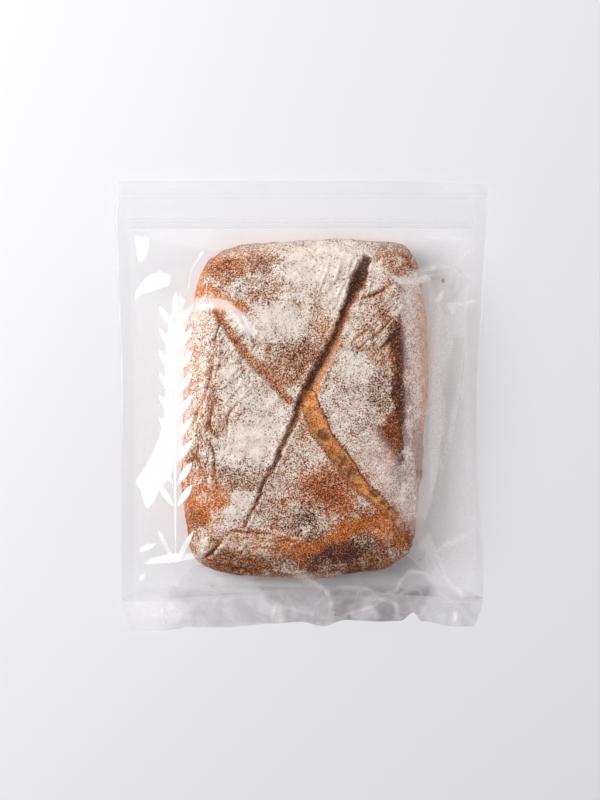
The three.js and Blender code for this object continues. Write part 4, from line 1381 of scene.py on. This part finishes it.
# %% Back film
clean = np.zeros(back_weld.shape)
lay_film("film_back", back_grid, weld=back_weld, dusty=clean, stacked=clean)

# %% [markdown]
# ## The gusset
# A strip of film joins the hem of the front panel to the lower edge of the back one. Opened
# by the loaf's thickness it hangs between the two, creased across and along.

# %% Gusset film
GUSSET_COLUMNS = 361
GUSSET_ROWS = 60
GUSSET_FOLD_ROW = 588
GUSSET_FOLD_HEIGHT = 2.0
GUSSET_INNER_SHARE = 0.66
GUSSET_PLANE = 5.0
GUSSET_ENDS = (0.15, 0.9)
# (line in photo pixels, rise in mm, half-width in mm on its left and on its right)
GUSSET_CREASES = [
    ([(163, 606), (164, 617), (168, 627)], 1.6, 1.8, 2.5),
    ([(172, 607), (185, 612), (194, 623)], 1.0, 2.0, 3.0),
    ([(276, 606), (274, 616), (280, 626)], 1.4, 2.5, 2.5),
    ([(327, 590), (330, 604), (330, 624)], 2.4, 2.0, 3.0),
    ([(354, 615), (366, 610), (384, 605)], 1.6, 1.8, 3.0),
    ([(402, 600), (408, 612), (411, 622)], 1.8, 3.0, 3.0),
    ([(417, 606), (418, 616), (425, 626)], 1.6, 2.0, 2.0),
    ([(457, 612), (456, 628)], 1.2, 2.0, 2.5),
    ([(200, 612), (235, 618), (262, 612)], 1.0, 4.0, 4.0),
    ([(290, 610), (310, 616), (322, 612)], 1.0, 3.0, 3.0),
    ([(340, 620), (360, 617), (392, 618)], 0.8, 2.0, 2.0),
]


def gusset_sheet():
    """From the back film's edge in to a low fold under the loaf's edge, and back to the hem.

    The leg up to the fold takes the first two thirds of the rows, the leg back the rest.
    """
    t = np.linspace(-1, 1, GUSSET_COLUMNS)[None, :]
    v = np.linspace(0, 1, GUSSET_ROWS)[:, None]
    inward = np.clip(v / GUSSET_INNER_SHARE, 0, 1)
    outward = np.clip((v - GUSSET_INNER_SHARE) / (1 - GUSSET_INNER_SHARE), 0, 1)
    edge_share = ease((1 - np.abs(t)) / 0.12)
    x = t * (POUCH_HALF_WIDTH - 8)
    for _ in range(3):
        low, high = through(GUSSET_EDGE, x) + 0.4, hem_line(x) + 2.0
        beside = from_photo((0, GUSSET_FOLD_ROW), 3)[1] + 1.2 * np.sin(x * 0.08)
        under_loaf = mix(through(LOAF_BOTTOM, x) + 2.0, beside, ease((np.abs(x) - 82) / 30))
        fold = mix(high + 1.0, under_loaf, edge_share)
        y = mix(mix(low, fold, inward), high, outward)
        x = np.where(t < 0, -t * side_edge(-1, y), t * side_edge(1, y))
    bottom = bottom_edge_height(x) + 0.7
    hem = mix(seam_height(high) + 0.5, hem_height(x) - 0.5, edge_share)
    inner = mix(bottom, GUSSET_FOLD_HEIGHT, inward) + 1.8 * np.sin(np.pi * inward) * edge_share
    z = mix(inner, hem, outward)
    rise = crease_rise(GUSSET_CREASES, GUSSET_PLANE, GUSSET_ENDS, x, y)
    crumple = 0.6 * flat_noise(x, y * 1.6, 14.0, 91) + 0.35 * flat_noise(x, y * 1.3, 6.0, 93)
    still = np.minimum(1, np.sin(np.pi * np.clip(inward, 0.02, 0.98)) * 2.5) * (1 - outward) ** 2
    return np.stack([x, y, np.maximum(z + (rise + crumple) * still, 1.0 + 1.2 * outward)], -1)


gusset_grid = gusset_sheet()
gx, gy = gusset_grid[..., 0], gusset_grid[..., 1]
lay_film("film_gusset", gusset_grid, weld=np.zeros(gx.shape), dusty=painted_fold_highlights(gx, gy),
         stacked=marked(LAYERS_AND_PAINTED_SHADE, gx, gy))

# %% [markdown]
# ## Zip, ornament and crumbs
# The zip is one extruded strip with fine ribs, crushed flat at its ends. The white ornament is ink on the
# front film, so each leaf and stroke takes its height from the film beneath it. A few
# crumbs have come loose and lie on the back film.

# %% Zip profiles
ZIP_HALF_LENGTH = 138.0
# Cross-section of the strip: place across it and height of its top, in millimetres
ZIP_PROFILE = [(-3.7, 0.15), (-3.3, 0.45), (-2.75, 0.45), (-2.45, 1.0), (-1.75, 1.0), (-1.45, 0.35),
               (-0.45, 0.35), (-0.2, 0.9), (0.45, 0.9), (0.7, 0.35), (1.45, 0.35), (1.75, 1.0),
               (2.45, 1.0), (2.75, 0.45), (3.3, 0.45), (3.7, 0.15)]
ZIP_STEPS = 240
ZIP_FOOT_HEIGHT = 7.0
ZIP_CRUSHED = 7.0
ZIP_THICKNESS = 0.35

zip_x = np.linspace(-ZIP_HALF_LENGTH, ZIP_HALF_LENGTH, ZIP_STEPS)
across, rib = np.array(ZIP_PROFILE).T
full = mix(0.3, 1.0, ease((ZIP_HALF_LENGTH - np.abs(zip_x)) / ZIP_CRUSHED))
bead = 1 + 0.05 * np.sin(zip_x * 2.1) + 0.04 * np.sin(zip_x * 5.3 + 1)
zip_y = ZIP_Y + across[:, None] + 0.12 * np.sin(zip_x * 0.045)
zip_z = ZIP_FOOT_HEIGHT + rib[:, None] * full * bead
zip_grid = np.stack(np.broadcast_arrays(zip_x, zip_y, zip_z), -1)
zip_strip, add = new_material("zip_strip")
facing = add("LayerWeight", Blend=0.5).outputs["Facing"]
clear = add("BsdfTransparent", Color=(0.985, 0.985, 0.987, 1))
plastic = add("BsdfPrincipled", Base_Color=paint(236, 236, 238), Roughness=0.22)
share = number(add, "MULTIPLY_ADD", number(add, "POWER", facing, 1.3), 0.95, 0.02)
mixed = add("MixShader", _0=share, _1=clear.outputs[0], _2=plastic.outputs[0])
add("OutputMaterial", Surface=mixed.outputs[0])
points, faces = closed_sheet(zip_grid, ZIP_THICKNESS)
zip_piece = make_piece("zip_profiles", points, faces, zip_strip, "zip_strip", "zip_track")
zip_piece.visible_shadow = False


# %% Wheat-ear ornament


def film_height_at(x, y):
    """The front panel's height at any place, from its even grid of points."""
    up = (y - hem_line(x)) / (ZIP_LOW_Y - hem_line(x))
    left, right = side_edge(-1, y) + SIDE_SEAL, side_edge(1, y) - SIDE_SEAL
    return read_grid(panel_z, up * (PANEL_ROWS - 1), (x - left) / (right - left) * (PANEL_COLUMNS - 1))


# The ear's places are in photo pixels, its bulges too
EAR_X = 176.0
EAR_FROM, EAR_TO = 576.0, 286.0
EAR_NECK = EAR_TO + 34
EAR_PAIRS = 9
INK_THICKNESS = 0.05
INK_OVER_FILM = 0.06
INK_PLANE = 20.0


def leaf(foot, tip, bulge, steps=26, ribs=5):
    """A grain's outline filled by ribs: half-width bulge · sin(pi t)^0.8 about its axis."""
    foot, tip = np.array(foot), np.array(tip)
    t = np.linspace(0, 1, steps)[None, :]
    s = np.linspace(-1, 1, ribs)[:, None]
    axis = (tip - foot) / np.linalg.norm(tip - foot)
    half = bulge * np.sin(np.pi * np.clip(t, 0.004, 0.996)) ** 0.8
    sideways = (s * half)[..., None] * np.array([-axis[1], axis[0]])
    return foot + (tip - foot) * t[..., None] + sideways


def inked(patches):
    """Patches of photo places laid on the film as thin closed shells of ink."""
    points, faces, start = [], [], 0
    for patch in patches:
        place = from_photo(patch, INK_PLANE)
        z = film_height_at(place[..., 0], place[..., 1]) + FILM_THICKNESS + INK_OVER_FILM
        shell, quads = closed_sheet(np.dstack([place, z]), INK_THICKNESS)
        points.append(shell)
        faces.append(quads + start)
        start += len(shell)
    return np.concatenate(points), np.concatenate(faces)


def leaf_pair(foot_out, foot_y, tip_out, tip_y, bulge, steps=26):
    """Two leaves that mirror each other in the stalk."""
    return [leaf((EAR_X + side * foot_out, foot_y), (EAR_X + side * tip_out, tip_y), side * bulge, steps)
            for side in (-1, 1)]


strokes = [leaf((EAR_X, EAR_FROM), (EAR_X, EAR_NECK), 1.3, 160)]
for pair in range(EAR_PAIRS):
    foot_y = mix(EAR_FROM - 70, EAR_TO + 42, pair / (EAR_PAIRS - 1))
    strokes += leaf_pair(2.2, foot_y, 17.0, foot_y - 22, 3.6)
strokes.append(leaf((EAR_X, EAR_NECK), (EAR_X, EAR_TO + 6), 3.8))
strokes += leaf_pair(1.5, EAR_FROM - 14, 18.0, EAR_FROM - 46, 3.0, 40)
ink, add = new_material("white_ink")
wear = add("TexNoise", Vector=add("TexCoord").outputs["Object"], Scale=600.0, Detail=2.0).outputs[0]
ink_tone = colour_mix(add, between(add, wear, 0.3, 0.7), paint(238, 238, 240), paint(252, 252, 253))
shader = add("BsdfPrincipled", Base_Color=ink_tone, Roughness=0.4)
clear = add("BsdfTransparent")
mixed = add("MixShader", _0=0.82, _1=clear.outputs[0], _2=shader.outputs[0])
add("OutputMaterial", Surface=mixed.outputs[0])
points, faces = inked(strokes)
ornament = make_piece("ornament", points, faces, ink, "print", "bag")
ornament.visible_shadow = False

# %% Loose crumbs
CRUMB_RINGS = 6
CRUMB_TURNS = 10
CRUMB_PLANE = 4.0
# (x and y in photo pixels, radius in mm)
CRUMB_PLACES = [(443, 281, 1.5), (401, 589, 0.7), (335, 615, 0.6), (150, 330, 0.4), (158, 402, 0.35),
                (446, 412, 0.4), (434, 505, 0.5), (212, 586, 0.5), (262, 589, 0.4), (366, 583, 0.45),
                (160, 470, 0.35), (452, 350, 0.3), (420, 560, 0.5), (190, 580, 0.4)]


def crumb_shape(radius, random):
    """A lumpy, flattened ball: rings of points between two poles, each ring's points pushed
    in or out at random."""
    turn = np.linspace(0, 2 * np.pi, CRUMB_TURNS, endpoint=False)[None, :]
    lift = np.linspace(-np.pi / 2, np.pi / 2, CRUMB_RINGS + 2)[1:-1, None]
    size = radius * random.uniform(0.7, 1.2, (CRUMB_RINGS, CRUMB_TURNS))
    level = size * np.cos(lift)
    ball = np.stack([level * np.cos(turn), level * np.sin(turn), 0.6 * size * np.sin(lift)], -1)
    ball = ball.reshape(-1, 3)
    ids = np.arange(len(ball)).reshape(CRUMB_RINGS, CRUMB_TURNS)
    after = np.roll(ids, -1, axis=1)
    walls = np.stack([ids[:-1], after[:-1], after[1:], ids[1:]], -1).reshape(-1, 4).tolist()
    south = [[len(ball), int(b), int(a)] for a, b in zip(ids[0], after[0])]
    north = [[len(ball) + 1, int(a), int(b)] for a, b in zip(ids[-1], after[-1])]
    poles = np.array([[0, 0, -0.55 * radius], [0, 0, 0.55 * radius]])
    return np.concatenate([ball, poles]), walls + south + north


def back_height_at(x, y):
    """The back film's height at the nearest point of its grid."""
    near = np.argmin((back_grid[..., 0] - x) ** 2 + (back_grid[..., 1] - y) ** 2)
    return back_grid.reshape(-1, 3)[near, 2]


random = np.random.default_rng(7)
points, faces, start = [], [], 0
for px, py, radius in CRUMB_PLACES:
    x, y = from_photo((px, py), CRUMB_PLANE)
    ball, walls = crumb_shape(radius, random)
    points.append(ball + (x, y, back_height_at(x, y) + 0.62 * radius + 0.15))
    faces += [[corner + start for corner in wall] for wall in walls]
    start += len(ball)
crumbs_material, add = new_material("crumbs")
tone = add("TexNoise", Vector=add("TexCoord").outputs["Object"], Scale=400.0, Detail=2.0).outputs[0]
tone = colour_mix(add, between(add, tone, 0.35, 0.65), paint(120, 62, 44), paint(196, 140, 104))
shader = add("BsdfPrincipled", Base_Color=tone, Roughness=0.8)
add("OutputMaterial", Surface=shader.outputs[0])
make_piece("crumbs", np.concatenate(points), faces, crumbs_material, "crust", "bag")
